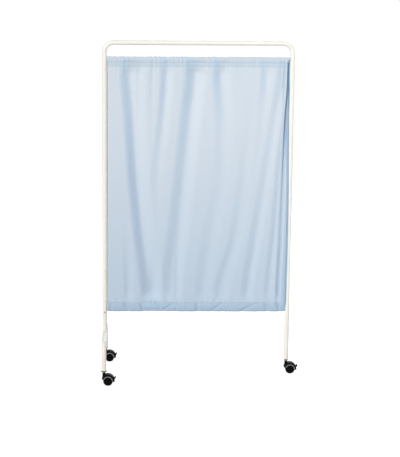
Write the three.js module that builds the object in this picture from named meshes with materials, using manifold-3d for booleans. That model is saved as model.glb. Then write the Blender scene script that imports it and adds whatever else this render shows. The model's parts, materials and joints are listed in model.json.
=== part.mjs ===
// A one-panel ward privacy screen on three swivel casters.
// One bent steel tube makes the left post, the top bar and the right post.
// The left post stands on an inverted-U foot hoop with two casters, the right post on one caster.
// A gathered curtain hangs on a rod at its top and holds another rod in its bottom hem.
// Lengths are in millimetres: X runs across the screen, Y from front to back, Z up from the floor.

import Module from 'manifold-3d';
import * as THREE from 'three';
import { mergeVertices } from 'three/addons/utils/BufferGeometryUtils.js';

const manifold = await Module();
manifold.setup();

const fullTurn = 360; // degrees
const cornersPerQuad = 6; // two triangles of a side face

// Clearances
const seatGap = 0.3; // between pieces that rest on or in each other
const runningGap = 0.25; // round a shaft that turns in its bore
const weldDistance = 0.001; // corners closer than this are one corner
const overrun = 2; // how far a cutting shape reaches past the face that it cuts

// Bent tube frame
const frameWidth = 1000;
const frameHeight = 1780;
const tubeDiameter = 25;
const tubeWall = 1.5;
const topBendRadius = 50; // at the tube's centre line
const tubeSides = 16;
const bendSteps = 6;
const tubeRadius = tubeDiameter / 2;
const boreRadius = tubeRadius - tubeWall;
const postX = frameWidth / 2 - tubeRadius;

// Foot hoop under the left post
const hoopSpan = 450; // from caster stem to caster stem
const hoopHeight = 232; // top of the crown
const hoopBendRadius = 50;
const hoopAxisZ = hoopHeight - tubeRadius;

// Curtain rods and the bushes that hold their ends in the posts
const rodDiameter = 10;
const rodWall = 1;
const rodEngagement = 8; // how far a rod reaches past the inner face of a post
const bushWall = 0.8;
const bushFlangeRadius = 8;
const bushFlangeThickness = 1.2;
const bushSleeveLength = 4;
const rodSides = 12;
const rodRadius = rodDiameter / 2;
const bushBoreRadius = rodRadius + seatGap;
const bushRadius = bushBoreRadius + bushWall;

// Curtain
const topBarToCurtain = 60; // clear height between the top bar and the curtain
const curtainAboveHoop = 113; // clear height between the foot hoop's crown and the curtain
const curtainSideGap = 1; // from the curtain's edge to a bush flange
const clothThickness = 2;
const topChannelDepth = 29; // from the top edge to the channel's stitch line
const bottomHemDepth = 45; // from the bottom edge to the hem's stitch line
const channelEndDepth = 6; // from a channel's narrow end to its stitch line
const foldDepth = 14; // from the curtain's plane to the deepest fold
const foldGrowth = 90; // height over which the folds open out from a stitch line
const stitchFoldShare = 0.3; // fold depth left at a stitch line
const channelSides = 8; // flats of the cloth loop round a rod
const curtainTop = frameHeight - tubeDiameter - topBarToCurtain;
const curtainBottom = hoopHeight + curtainAboveHoop;
const curtainHeight = curtainTop - curtainBottom;
const channelRadius = rodRadius + seatGap;
const topRodZ = curtainTop - channelRadius - clothThickness;
const bottomRodZ = curtainBottom + channelRadius + clothThickness;
const stitchTop = curtainTop - topChannelDepth;
const stitchBottom = curtainBottom + bottomHemDepth;

// Each fold line of the curtain: its place across at the top edge and at the bottom edge,
// both as shares of the width, and its depth as a share of foldDepth (front is negative).
const foldLineShares = [
  [0, 0, -0.8],
  [0.025, 0.022, 0.3],
  [0.055, 0.1, -0.8],
  [0.094, 0.205, 1],
  [0.13, 0.226, -0.8],
  [0.25, 0.238, -0.9],
  [0.301, 0.248, 0.8],
  [0.335, 0.265, -0.8],
  [0.43, 0.295, -0.9],
  [0.464, 0.314, 1],
  [0.495, 0.34, -0.9],
  [0.56, 0.475, -0.7],
  [0.6, 0.504, 0.8],
  [0.635, 0.53, -0.9],
  [0.735, 0.58, -0.8],
  [0.77, 0.611, 0.7],
  [0.8, 0.645, -0.8],
  [0.862, 0.69, 0.3],
  [0.9, 0.725, -0.7],
  [0.93, 0.762, 0.9],
  [0.945, 0.82, -0.8],
  [0.957, 0.886, 0.5],
  [0.968, 0.925, -1],
  [0.98, 0.953, 0.8],
  [0.99, 0.972, -0.4],
  [1, 1, -0.9],
];

// Heights of the curtain's rows between its two stitch lines, as shares of that height
const curtainRowShares = [0, 0.035, 0.1, 0.3, 0.5, 0.7, 0.9, 0.965, 1];

// Spigot of the foot hoop and the screw that locks the left post on it
const spigotWall = 2;
const spigotSides = 16;
const spigotToBush = 2; // clear height under the bottom rod's bush
const screwBelowSpigotTop = 9;
const screwRadius = 2.3;
const screwHeadRadius = 4;
const screwHeadHeight = 2.4;
const screwHeadCrown = 0.9;
const screwReach = 4; // how far the screw passes through the spigot's wall
const screwSides = 12;
const spigotRadius = boreRadius - seatGap;
const spigotTop = bottomRodZ - bushRadius - spigotToBush;
const spigotScrewZ = spigotTop - screwBelowSpigotTop;

// Caster wheels
const wheelRadius = 25;
const wheelTrail = 21.5; // from the swivel axis back to the axle
const wheelHalfGap = 9.5; // from the caster's middle plane to a wheel's inner face
const wheelWidth = 13.5;
const tyreThickness = 4;
const tyreChamfer = 1.2;
const rimWall = 2.2;
const discThickness = 2.4;
const hubRadius = 6;
const hubHalfGap = 3.6; // from the middle plane to the hub's inner face
const axleRadius = 3;
const axleEndGap = 0.5; // between an axle end and the wheel's closed outer face
const tyreSides = 24;
const wheelSides = 16;
const axleSides = 12;
const wheelFaceY = wheelHalfGap + wheelWidth;
const wheelRimRadius = wheelRadius - tyreThickness - seatGap;
const discInnerY = wheelFaceY - discThickness;

// Caster body: swivel barrel, web between the wheels and hood over them
const barrelRadius = 8;
const barrelBottomZ = 28;
const barrelTopZ = 65;
const webHalfThickness = 3;
const bossRadius = 7;
const hoodRadius = 34;
const hoodWall = 2.6;
const hoodFlatHalfWidth = 18.5; // half width of the roof before its chamfer starts
const hoodSideGap = 1; // between a wheel's outer face and the hood's side
const hoodSideWall = 2;
const lipInnerRadius = 20.5;
const lipOuterRadius = 27.5;
const lipSlope = 0.8; // how much further out the lip's inner edge stands
const hoodLeadingAngle = 165; // degrees round the axle from straight back
const hoodTrailingAngle = -8;
const roofEndAngle = 40; // the roof stops here to make room for the pedal
const slotEndAngle = -13; // the pedal's slot runs out below the hood's trailing edge
const webFrontAngle = 145; // where the web's outline leaves the hood towards the barrel
const bossStartAngle = 190; // the web's outline rounds the axle boss between these angles
const bossEndAngle = 370;
const webSteps = 6;
const cutSteps = 4;
const hoodSides = 24;
const barrelSides = 16;
const hoodSideY = wheelFaceY + hoodSideGap + hoodSideWall;

// Brake pedal, placed round the axle
const pedalHalfWidth = 15.5;
const pedalSideGap = 1;
const shoeRadius = 28.3; // inner face of the pedal, which nears the tyres when pressed
const pedalBackRadius = 35.5;
const pedalBottomAngle = -10;
const pedalTopAngle = 30;
const pedalTabAngle = 14; // where the tab's underside leaves the pedal's back
const pedalTipX = 42.3;
const pedalTipZ = 24;
const pedalTipThickness = 4.2;
const pedalRootThickness = 5;
const pedalSteps = 4;
const pinOrbit = 31; // from the axle to the pedal's pivot pin
const pinAngle = 12;
const pinRadius = 1.5;
const pinSides = 8;
const pinHalfLength = 19.5;

// Caster stem and what fixes it in the end of a tube
const stemRadius = 5;
const stemSpigotRadius = 4;
const stemSpigotInset = 1.5; // from the barrel's bottom face up to the stem's lower end
const stemGrooveRadius = 3.1;
const gripRingHeight = 1.2;
const gripRingWall = 1.4;
const gripRingRaise = 8; // from the stem's lower end up to the ring's groove
const gripRingOpening = 40; // degrees
const nutAcrossFlats = 17;
const nutHeight = 6;
const nutSides = 6;
const washerRadius = 12;
const wideWasherRadius = 16.5; // the front caster has a wider washer than the other two
const washerThickness = 2;
const insertFlangeThickness = 1.5;
const insertDepth = 24;
const insertBlindDepth = 3; // solid end of the insert above the stem
const stemSides = 12;
const washerSides = 20;
const nutBottomZ = barrelTopZ + 2 * seatGap;
const washerBottomZ = nutBottomZ + nutHeight + seatGap;
const flangeBottomZ = washerBottomZ + washerThickness + seatGap;
const tubeEndZ = flangeBottomZ + insertFlangeThickness + seatGap;
const insertTopZ = tubeEndZ + insertDepth;
const stemTopZ = insertTopZ - insertBlindDepth;
const stemBottomZ = barrelBottomZ + stemSpigotInset;
const gripRingZ = stemBottomZ + gripRingRaise;

// Where the three casters stand
const casterPlaces = {
  front: { x: -postX, y: -hoopSpan / 2, washer: wideWasherRadius },
  rear: { x: -postX, y: hoopSpan / 2, washer: washerRadius },
  right: { x: postX, y: 0, washer: washerRadius },
};

// Finishes
const creamPaint = { color: 0xf0ebe0, roughness: 0.35, metalness: 0 };
const zincSteel = { color: 0x9a9da0, roughness: 0.4, metalness: 0.9 };
const darkSteel = { color: 0x6b6a66, roughness: 0.45, metalness: 0.8 };
const blackPlastic = { color: 0x1b1b1d, roughness: 0.5, metalness: 0 };
const blackTyre = { color: 0x262628, roughness: 0.7, metalness: 0 };
const whitePlastic = { color: 0xe6e4dd, roughness: 0.5, metalness: 0 };
const blueCloth = { color: 0xbdd3e6, roughness: 0.95, metalness: 0 };

// Corner radius of a polygon whose flats lie at the given radius
function cornerRadius(flatRadius, sides) {
  return flatRadius / Math.cos(Math.PI / sides);
}

function polar(radius, degrees) {
  const angle = THREE.MathUtils.degToRad(degrees);
  return new THREE.Vector2(radius * Math.cos(angle), radius * Math.sin(angle));
}

function arcPoints(radius, fromDegrees, toDegrees, steps) {
  const points = [];
  for (let i = 0; i <= steps; i += 1) {
    points.push(polar(radius, THREE.MathUtils.lerp(fromDegrees, toDegrees, i / steps)));
  }
  return points;
}

// Points of a round section, as a polygon with a flat on each side of X and Y
function roundPoints(flatRadius, sides) {
  const step = fullTurn / sides;
  return arcPoints(cornerRadius(flatRadius, sides), step / 2, fullTurn - step / 2, sides - 1);
}

function ringShape(outerRadius, innerRadius, sides) {
  const shape = new THREE.Shape(roundPoints(outerRadius, sides));
  shape.holes.push(new THREE.Path(roundPoints(innerRadius, sides)));
  return shape;
}

// The same surface with shared corners, without triangles that have shrunk to a line
function closedSkin(geometry) {
  const bare = geometry.clone();
  bare.deleteAttribute('normal');
  bare.deleteAttribute('uv');
  const merged = mergeVertices(bare, weldDistance);
  const corners = merged.getIndex().array;
  const kept = [];
  for (let i = 0; i < corners.length; i += 3) {
    const [a, b, c] = [corners[i], corners[i + 1], corners[i + 2]];
    if (a !== b && b !== c && c !== a) {
      kept.push(a, b, c);
    }
  }
  merged.setIndex(kept);
  return merged;
}

function toSolid(geometry) {
  const skin = closedSkin(geometry);
  const mesh = new manifold.Mesh({
    numProp: 3,
    vertProperties: Float32Array.from(skin.getAttribute('position').array),
    triVerts: Uint32Array.from(skin.getIndex().array),
  });
  return new manifold.Manifold(mesh);
}

function toGeometry(solid) {
  const mesh = solid.getMesh();
  const geometry = new THREE.BufferGeometry();
  geometry.setAttribute('position', new THREE.BufferAttribute(mesh.vertProperties, mesh.numProp));
  geometry.setIndex(new THREE.BufferAttribute(mesh.triVerts, 1));
  return geometry;
}

function joined(geometries) {
  const solids = geometries.map(toSolid);
  return toGeometry(solids.reduce((whole, solid) => whole.add(solid)));
}

function cutBy(geometry, cutters) {
  const solids = cutters.map(toSolid);
  return toGeometry(solids.reduce((whole, solid) => whole.subtract(solid), toSolid(geometry)));
}

// A turned piece: points of radius and height, turned about the Y axis
function turnedAboutY(points, sides) {
  const profile = points.map(([radius, height]) => new THREE.Vector2(radius, height));
  return new THREE.LatheGeometry(profile, sides, Math.PI / sides);
}

function turnedAboutZ(points, sides) {
  return turnedAboutY(points, sides).rotateX(Math.PI / 2);
}

// A round bar between two heights on the Z axis, with its corners at the given radius
function barAboutZ(radius, bottom, top, sides) {
  return turnedAboutZ([[0, bottom], [radius, bottom], [radius, top], [0, top]], sides);
}

function barAboutY(radius, from, to, sides) {
  return turnedAboutY([[0, from], [radius, from], [radius, to], [0, to]], sides);
}

function barAboutX(radius, from, to, sides) {
  return barAboutZ(radius, from, to, sides).rotateY(Math.PI / 2);
}

// A flat outline in X and Z, given its thickness evenly on both sides of the XZ plane
function plate(points, halfThickness) {
  const settings = { depth: 2 * halfThickness, bevelEnabled: false };
  const geometry = new THREE.ExtrudeGeometry(new THREE.Shape(points), settings);
  return geometry.rotateX(Math.PI / 2).translate(0, halfThickness, 0);
}

// A line through corner points, with a round bend at each corner and a section at each station
class BentPath extends THREE.Curve {
  constructor(corners, bendRadius) {
    super();
    this.stations = [];
    corners.forEach((corner, i) => this.addCorner(corners[i - 1], corner, corners[i + 1], bendRadius));
  }

  addCorner(before, corner, after, bendRadius) {
    const arriving = before && corner.clone().sub(before).normalize();
    const leaving = after && after.clone().sub(corner).normalize();
    if (!arriving || !leaving) {
      this.stations.push({ point: corner, direction: arriving || leaving });
      return;
    }
    const start = corner.clone().addScaledVector(arriving, -bendRadius);
    const centre = start.clone().addScaledVector(leaving, bendRadius);
    for (let i = 0; i <= bendSteps; i += 1) {
      const angle = (Math.PI / 2) * (i / bendSteps);
      const point = centre.clone();
      point.addScaledVector(leaving, -bendRadius * Math.cos(angle));
      point.addScaledVector(arriving, bendRadius * Math.sin(angle));
      const direction = arriving.clone().multiplyScalar(Math.cos(angle));
      direction.addScaledVector(leaving, Math.sin(angle));
      this.stations.push({ point, direction });
    }
  }

  getPoint(t, target = new THREE.Vector3()) {
    const place = t * (this.stations.length - 1);
    const i = Math.min(Math.floor(place), this.stations.length - 2);
    return target.lerpVectors(this.stations[i].point, this.stations[i + 1].point, place - i);
  }

  getTangent(t, target = new THREE.Vector3()) {
    const i = Math.round(t * (this.stations.length - 1));
    return target.copy(this.stations[i].direction);
  }

  getUtoTmapping(u) {
    return u;
  }
}

function bentTube(corners, bendRadius) {
  const path = new BentPath(corners, bendRadius);
  return new THREE.ExtrudeGeometry(ringShape(tubeRadius, boreRadius, tubeSides), {
    extrudePath: path,
    steps: path.stations.length - 1,
    bevelEnabled: false,
  });
}

// The space that the crown of the foot hoop takes, with its seat gap
function crownSeat() {
  const reach = tubeDiameter + overrun;
  const radius = cornerRadius(tubeRadius + seatGap, tubeSides);
  return barAboutY(radius, -reach, reach, tubeSides).translate(-postX, 0, hoopAxisZ);
}

function spigotScrewHole(radius) {
  const depth = tubeRadius + overrun;
  return barAboutY(cornerRadius(radius, screwSides), -depth, 0, screwSides)
    .translate(-postX, 0, spigotScrewZ);
}

// A hole for a rod bush, through the inner wall of the post on the given side
function bushHole(side, rodZ) {
  const outerX = side * (postX - tubeRadius - overrun);
  const axisX = side * postX;
  const radius = cornerRadius(bushRadius + seatGap, rodSides);
  return barAboutX(radius, Math.min(outerX, axisX), Math.max(outerX, axisX), rodSides)
    .translate(0, 0, rodZ);
}

function frameTube() {
  const barZ = frameHeight - tubeRadius;
  const tube = bentTube([
    new THREE.Vector3(-postX, 0, hoopAxisZ),
    new THREE.Vector3(-postX, 0, barZ),
    new THREE.Vector3(postX, 0, barZ),
    new THREE.Vector3(postX, 0, tubeEndZ),
  ], topBendRadius);
  const holes = [crownSeat(), spigotScrewHole(screwRadius + seatGap)];
  for (const rodZ of [topRodZ, bottomRodZ]) {
    holes.push(bushHole(-1, rodZ), bushHole(1, rodZ));
  }
  return cutBy(tube, holes);
}

function footHoop() {
  return bentTube([
    new THREE.Vector3(-postX, -hoopSpan / 2, tubeEndZ),
    new THREE.Vector3(-postX, -hoopSpan / 2, hoopAxisZ),
    new THREE.Vector3(-postX, hoopSpan / 2, hoopAxisZ),
    new THREE.Vector3(-postX, hoopSpan / 2, tubeEndZ),
  ], hoopBendRadius);
}

function footSpigot() {
  const innerRadius = spigotRadius - spigotWall;
  const tube = turnedAboutZ([
    [innerRadius, hoopAxisZ],
    [spigotRadius, hoopAxisZ],
    [spigotRadius, spigotTop],
    [innerRadius, spigotTop],
    [innerRadius, hoopAxisZ],
  ], spigotSides).translate(-postX, 0, 0);
  return cutBy(tube, [crownSeat(), spigotScrewHole(screwRadius + seatGap)]);
}

function spigotScrew() {
  const headY = -(tubeRadius + seatGap);
  const crownRadius = screwHeadRadius - screwHeadCrown;
  const tipY = -(spigotRadius - spigotWall - screwReach);
  return turnedAboutY([
    [0, headY - screwHeadHeight],
    [crownRadius, headY - screwHeadHeight],
    [screwHeadRadius, headY - screwHeadHeight + screwHeadCrown],
    [screwHeadRadius, headY],
    [screwRadius, headY],
    [screwRadius, tipY],
    [0, tipY],
  ], screwSides).translate(-postX, 0, spigotScrewZ);
}

function curtainRod(rodZ) {
  const length = 2 * (postX - tubeRadius + rodEngagement);
  const shape = ringShape(rodRadius * Math.cos(Math.PI / rodSides), rodRadius - rodWall, rodSides);
  const rod = new THREE.ExtrudeGeometry(shape, { depth: length, bevelEnabled: false });
  return rod.rotateY(Math.PI / 2).translate(-length / 2, 0, rodZ);
}

// A flanged bush in the inner wall of the post on the given side
function rodBush(side, rodZ) {
  const innerRadius = cornerRadius(bushBoreRadius, rodSides);
  const flangeBack = -seatGap;
  const flangeFace = flangeBack - bushFlangeThickness;
  const bush = turnedAboutZ([
    [innerRadius, flangeFace],
    [bushFlangeRadius, flangeFace],
    [bushFlangeRadius, flangeBack],
    [bushRadius, flangeBack],
    [bushRadius, bushSleeveLength],
    [innerRadius, bushSleeveLength],
    [innerRadius, flangeFace],
  ], rodSides);
  return bush.rotateY(side * Math.PI / 2).translate(side * (postX - tubeRadius), 0, rodZ);
}

// The curtain's section in Y and Z: a loop of cloth round each rod and one layer between them
function curtainSection() {
  const outerRadius = channelRadius + clothThickness;
  const half = clothThickness / 2;
  const rowHeights = curtainRowShares.map((share) => THREE.MathUtils.lerp(stitchBottom, stitchTop, share));
  const loop = (radius, from, to, rodZ) => arcPoints(radius, from, to, channelSides / 2)
    .map((point) => new THREE.Vector2(point.x, point.y + rodZ));
  const shape = new THREE.Shape([
    ...loop(outerRadius, 180, 360, bottomRodZ),
    ...rowHeights.map((height) => new THREE.Vector2(half, height)),
    ...loop(outerRadius, 0, 180, topRodZ),
    ...rowHeights.toReversed().map((height) => new THREE.Vector2(-half, height)),
  ]);
  const innerRadius = cornerRadius(channelRadius, channelSides);
  shape.holes.push(new THREE.Path([
    ...loop(innerRadius, 180, 360, bottomRodZ),
    new THREE.Vector2(0, stitchBottom - channelEndDepth),
  ]));
  shape.holes.push(new THREE.Path([
    ...loop(innerRadius, 0, 180, topRodZ),
    new THREE.Vector2(0, stitchTop + channelEndDepth),
  ]));
  return shape;
}

// How far the folds have opened at a height: none on the rods, a part of it at the stitch lines
// and all of it further in
function foldStrength(height) {
  const fromBottom = height - stitchBottom;
  const fromTop = stitchTop - height;
  const distance = Math.min(fromBottom, fromTop);
  if (distance < 0) {
    const stitchToRod = fromTop < fromBottom ? topRodZ - stitchTop : stitchBottom - bottomRodZ;
    return stitchFoldShare * Math.max(0, 1 + distance / stitchToRod);
  }
  const opened = THREE.MathUtils.smoothstep(distance, 0, foldGrowth);
  return THREE.MathUtils.lerp(stitchFoldShare, 1, opened);
}

// Splits every four-cornered side face along the same diagonal, so that the cloth's front and back
// stay the same distance apart where the folds twist them
function splitAlike(geometry) {
  const position = geometry.getAttribute('position');
  const sides = geometry.groups[1];
  for (let i = sides.start; i < sides.start + sides.count; i += cornersPerQuad) {
    const corner = (k) => new THREE.Vector3().fromBufferAttribute(position, i + k);
    const [a, b, d, c] = [corner(0), corner(1), corner(2), corner(4)];
    if (b.y > d.y) {
      [a, b, c, a, c, d].forEach((point, k) => position.setXYZ(i + k, point.x, point.y, point.z));
    }
  }
}

function curtain() {
  const lines = foldLineShares.length - 1;
  const settings = { depth: 1, steps: lines, bevelEnabled: false };
  const geometry = new THREE.ExtrudeGeometry(curtainSection(), settings);
  splitAlike(geometry);
  const postFace = postX - tubeRadius;
  const halfWidth = postFace - seatGap - bushFlangeThickness - curtainSideGap;
  const position = geometry.getAttribute('position');
  for (let i = 0; i < position.count; i += 1) {
    const height = position.getY(i);
    const line = foldLineShares[Math.round(position.getZ(i) * lines)];
    const heightShare = (height - curtainBottom) / curtainHeight;
    const across = THREE.MathUtils.lerp(line[1], line[0], heightShare);
    const depth = position.getX(i) + foldDepth * line[2] * foldStrength(height);
    position.setXYZ(i, THREE.MathUtils.lerp(-halfWidth, halfWidth, across), depth, height);
  }
  return geometry;
}

// A plug in the end of a tube, with a flange under the tube's end and a bore for the stem
function tubeInsert() {
  const stemBore = cornerRadius(stemRadius + seatGap, stemSides);
  return turnedAboutZ([
    [stemBore, flangeBottomZ],
    [tubeRadius, flangeBottomZ],
    [tubeRadius, flangeBottomZ + insertFlangeThickness],
    [boreRadius - seatGap, flangeBottomZ + insertFlangeThickness],
    [boreRadius - seatGap, insertTopZ],
    [0, insertTopZ],
    [0, stemTopZ + seatGap],
    [stemBore, stemTopZ + seatGap],
    [stemBore, flangeBottomZ],
  ], stemSides);
}

function stemWasher(radius) {
  const bore = cornerRadius(stemRadius + seatGap, washerSides);
  return turnedAboutZ([
    [bore, washerBottomZ],
    [radius, washerBottomZ],
    [radius, washerBottomZ + washerThickness],
    [bore, washerBottomZ + washerThickness],
    [bore, washerBottomZ],
  ], washerSides);
}

function stemNut() {
  const shape = new THREE.Shape(roundPoints(nutAcrossFlats / 2, nutSides));
  shape.holes.push(new THREE.Path(roundPoints(stemRadius + seatGap, stemSides)));
  const nut = new THREE.ExtrudeGeometry(shape, { depth: nutHeight, bevelEnabled: false });
  return nut.translate(0, 0, nutBottomZ);
}

function casterStem() {
  const grooveBottom = gripRingZ - seatGap;
  const grooveTop = gripRingZ + gripRingHeight + seatGap;
  return turnedAboutZ([
    [0, stemBottomZ],
    [stemSpigotRadius, stemBottomZ],
    [stemSpigotRadius, grooveBottom],
    [stemGrooveRadius, grooveBottom],
    [stemGrooveRadius, grooveTop],
    [stemSpigotRadius, grooveTop],
    [stemSpigotRadius, nutBottomZ - seatGap],
    [stemRadius, nutBottomZ - seatGap],
    [stemRadius, stemTopZ],
    [0, stemTopZ],
  ], stemSides);
}

// A split ring in the stem's groove, which keeps the barrel on the stem
function gripRing() {
  const innerRadius = cornerRadius(stemGrooveRadius + seatGap, stemSides);
  const half = gripRingOpening / 2;
  const shape = new THREE.Shape([
    ...arcPoints(innerRadius + gripRingWall, half, fullTurn - half, stemSides),
    ...arcPoints(innerRadius, fullTurn - half, half, stemSides),
  ]);
  const ring = new THREE.ExtrudeGeometry(shape, { depth: gripRingHeight, bevelEnabled: false });
  return ring.translate(0, 0, gripRingZ);
}

// The bore of the barrel, with a groove round the grip ring
function barrelBore() {
  const radius = cornerRadius(stemSpigotRadius + runningGap, stemSides);
  const ringOuter = cornerRadius(stemGrooveRadius + seatGap, stemSides) + gripRingWall;
  const grooveRadius = cornerRadius(ringOuter + runningGap, stemSides);
  const grooveBottom = gripRingZ - seatGap;
  const grooveTop = gripRingZ + gripRingHeight + seatGap;
  return turnedAboutZ([
    [0, barrelBottomZ - overrun],
    [radius, barrelBottomZ - overrun],
    [radius, grooveBottom],
    [grooveRadius, grooveBottom],
    [grooveRadius, grooveTop],
    [radius, grooveTop],
    [radius, barrelTopZ + overrun],
    [0, barrelTopZ + overrun],
  ], stemSides);
}

// The hood as a full ring round the axle, before its lower part is cut away
function hoodRing() {
  const innerSideY = hoodSideY - hoodSideWall;
  const innerRadius = hoodRadius - hoodWall;
  const innerFlat = hoodFlatHalfWidth - hoodWall / 2;
  const chamferInner = lipOuterRadius - hoodWall / 4;
  const half = [
    [lipInnerRadius, hoodSideY],
    [lipOuterRadius, hoodSideY - lipSlope],
    [hoodRadius, hoodFlatHalfWidth],
  ];
  const inside = [
    [innerRadius, innerFlat],
    [chamferInner, innerSideY],
    [lipInnerRadius, innerSideY],
  ];
  const below = ([radius, y]) => [radius, -y];
  return turnedAboutY([
    ...half.map(below),
    ...half.toReversed(),
    ...inside.toReversed(),
    ...inside.map(below),
    below(half[0]),
  ], hoodSides);
}

// A wedge round the axle between two angles, wide enough to cut the whole hood
function wedge(fromDegrees, toDegrees, halfThickness) {
  const reach = 2 * hoodRadius;
  const rim = arcPoints(reach, fromDegrees, toDegrees, cutSteps);
  return plate([new THREE.Vector2(0, 0), ...rim], halfThickness);
}

function casterWeb() {
  const embed = hoodRadius - hoodWall / 2;
  const foot = barrelBottomZ - wheelRadius;
  return plate([
    ...arcPoints(embed, roofEndAngle, webFrontAngle, webSteps),
    new THREE.Vector2(-wheelTrail, barrelRadius + foot),
    new THREE.Vector2(-wheelTrail, foot),
    ...arcPoints(bossRadius, bossStartAngle, bossEndAngle, webSteps),
  ], webHalfThickness);
}

function casterBody() {
  const wide = hoodSideY + overrun;
  const lower = wedge(hoodLeadingAngle, fullTurn + hoodTrailingAngle, wide);
  const pedalSlot = plate([
    ...arcPoints(shoeRadius - overrun, roofEndAngle, slotEndAngle, cutSteps),
    ...arcPoints(2 * hoodRadius, slotEndAngle, roofEndAngle, cutSteps),
  ], pedalHalfWidth + pedalSideGap);
  const pinPlace = polar(pinOrbit, pinAngle);
  const pinBore = barAboutY(cornerRadius(pinRadius + seatGap, pinSides), -wide, wide, pinSides)
    .translate(pinPlace.x, 0, pinPlace.y);
  const axleBore = barAboutY(cornerRadius(axleRadius + seatGap, axleSides), -wide, wide, axleSides);
  const hood = cutBy(hoodRing(), [lower, pedalSlot, pinBore]);
  const barrel = barAboutZ(barrelRadius, barrelBottomZ, barrelTopZ, barrelSides)
    .translate(-wheelTrail, 0, -wheelRadius);
  const bore = barrelBore().translate(-wheelTrail, 0, -wheelRadius);
  return cutBy(joined([hood, casterWeb(), barrel]), [bore, axleBore])
    .translate(wheelTrail, 0, wheelRadius);
}

// A wheel on the given side: a hub, a closed outer disc and a rim
function wheelCore(side) {
  const bore = cornerRadius(axleRadius + runningGap, wheelSides);
  const core = turnedAboutY([
    [0, discInnerY],
    [bore, discInnerY],
    [bore, hubHalfGap],
    [hubRadius, hubHalfGap],
    [hubRadius, discInnerY],
    [wheelRimRadius - rimWall, discInnerY],
    [wheelRimRadius - rimWall, wheelHalfGap],
    [wheelRimRadius, wheelHalfGap],
    [wheelRimRadius, wheelFaceY],
    [0, wheelFaceY],
  ], wheelSides);
  return core.rotateX(side > 0 ? 0 : Math.PI).translate(wheelTrail, 0, wheelRadius);
}

// The tyre's flats lie at the wheel's radius, so one of them stands on the floor
function tyre(side) {
  const inner = cornerRadius(wheelRadius - tyreThickness, tyreSides);
  const tread = cornerRadius(wheelRadius, tyreSides);
  const ring = turnedAboutY([
    [inner, wheelHalfGap],
    [tread - tyreChamfer, wheelHalfGap],
    [tread, wheelHalfGap + tyreChamfer],
    [tread, wheelFaceY - tyreChamfer],
    [tread - tyreChamfer, wheelFaceY],
    [inner, wheelFaceY],
    [inner, wheelHalfGap],
  ], tyreSides);
  return ring.rotateX(side > 0 ? 0 : Math.PI).translate(wheelTrail, 0, wheelRadius);
}

function wheelAxle() {
  const end = discInnerY - axleEndGap;
  return barAboutY(axleRadius, -end, end, axleSides).translate(wheelTrail, 0, wheelRadius);
}

// The brake pedal: a curved body round the tyres with a tab that a foot presses down
function brakePedal() {
  const root = polar(pedalBackRadius, pedalTabAngle);
  const top = polar(shoeRadius + pedalRootThickness, pedalTopAngle);
  const tip = new THREE.Vector2(pedalTipX, pedalTipZ);
  const along = tip.clone().sub(root).normalize();
  const across = new THREE.Vector2(-along.y, along.x).multiplyScalar(pedalTipThickness);
  const upperRoot = root.clone().add(across);
  const body = plate([
    ...arcPoints(shoeRadius, pedalTopAngle, pedalBottomAngle, pedalSteps),
    ...arcPoints(pedalBackRadius, pedalBottomAngle, pedalTabAngle, pedalSteps),
    tip,
    tip.clone().add(across),
    upperRoot,
    top,
  ], pedalHalfWidth);
  const pinPlace = polar(pinOrbit, pinAngle);
  const reach = pedalHalfWidth + overrun;
  const bore = barAboutY(cornerRadius(pinRadius + runningGap, pinSides), -reach, reach, pinSides)
    .translate(pinPlace.x, 0, pinPlace.y);
  return cutBy(body, [bore]).translate(wheelTrail, 0, wheelRadius);
}

function pedalPin() {
  const place = polar(pinOrbit, pinAngle);
  return barAboutY(pinRadius, -pinHalfLength, pinHalfLength, pinSides)
    .translate(wheelTrail + place.x, 0, wheelRadius + place.y);
}

function addPiece(group, name, geometry, finish) {
  const mesh = new THREE.Mesh(geometry, new THREE.MeshStandardMaterial(finish));
  mesh.name = name;
  group.add(mesh);
}

function curtainAssembly() {
  const group = new THREE.Group();
  for (const [level, rodZ] of [['top', topRodZ], ['bottom', bottomRodZ]]) {
    addPiece(group, `${level}_rod`, curtainRod(rodZ), zincSteel);
    addPiece(group, `${level}_left_rod_bush`, rodBush(-1, rodZ), whitePlastic);
    addPiece(group, `${level}_right_rod_bush`, rodBush(1, rodZ), whitePlastic);
  }
  addPiece(group, 'curtain', curtain(), blueCloth);
  return group;
}

function frameAssembly() {
  const group = new THREE.Group();
  addPiece(group, 'frame_tube', frameTube(), creamPaint);
  addPiece(group, 'foot_hoop', footHoop(), creamPaint);
  addPiece(group, 'foot_spigot', footSpigot(), zincSteel);
  addPiece(group, 'spigot_screw', spigotScrew(), darkSteel);
  return group;
}

// One caster round its own swivel axis, with what fixes it in the tube above
function caster(name, washer) {
  const group = new THREE.Group();
  addPiece(group, `${name}_tube_insert`, tubeInsert(), blackPlastic);
  addPiece(group, `${name}_washer`, stemWasher(washer), darkSteel);
  addPiece(group, `${name}_stem_nut`, stemNut(), darkSteel);
  addPiece(group, `${name}_stem`, casterStem(), zincSteel);
  addPiece(group, `${name}_grip_ring`, gripRing(), zincSteel);
  addPiece(group, `${name}_caster_body`, casterBody(), blackPlastic);
  addPiece(group, `${name}_axle`, wheelAxle(), zincSteel);
  for (const [place, side] of [['near', -1], ['far', 1]]) {
    addPiece(group, `${name}_${place}_wheel`, wheelCore(side), blackPlastic);
    addPiece(group, `${name}_${place}_tyre`, tyre(side), blackTyre);
  }
  addPiece(group, `${name}_brake_pedal`, brakePedal(), blackPlastic);
  addPiece(group, `${name}_pedal_pin`, pedalPin(), zincSteel);
  return group;
}

const screen = new THREE.Group();
screen.add(frameAssembly(), curtainAssembly());
for (const [name, place] of Object.entries(casterPlaces)) {
  const unit = caster(name, place.washer);
  unit.position.set(place.x, place.y, 0);
  screen.add(unit);
}

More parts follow.
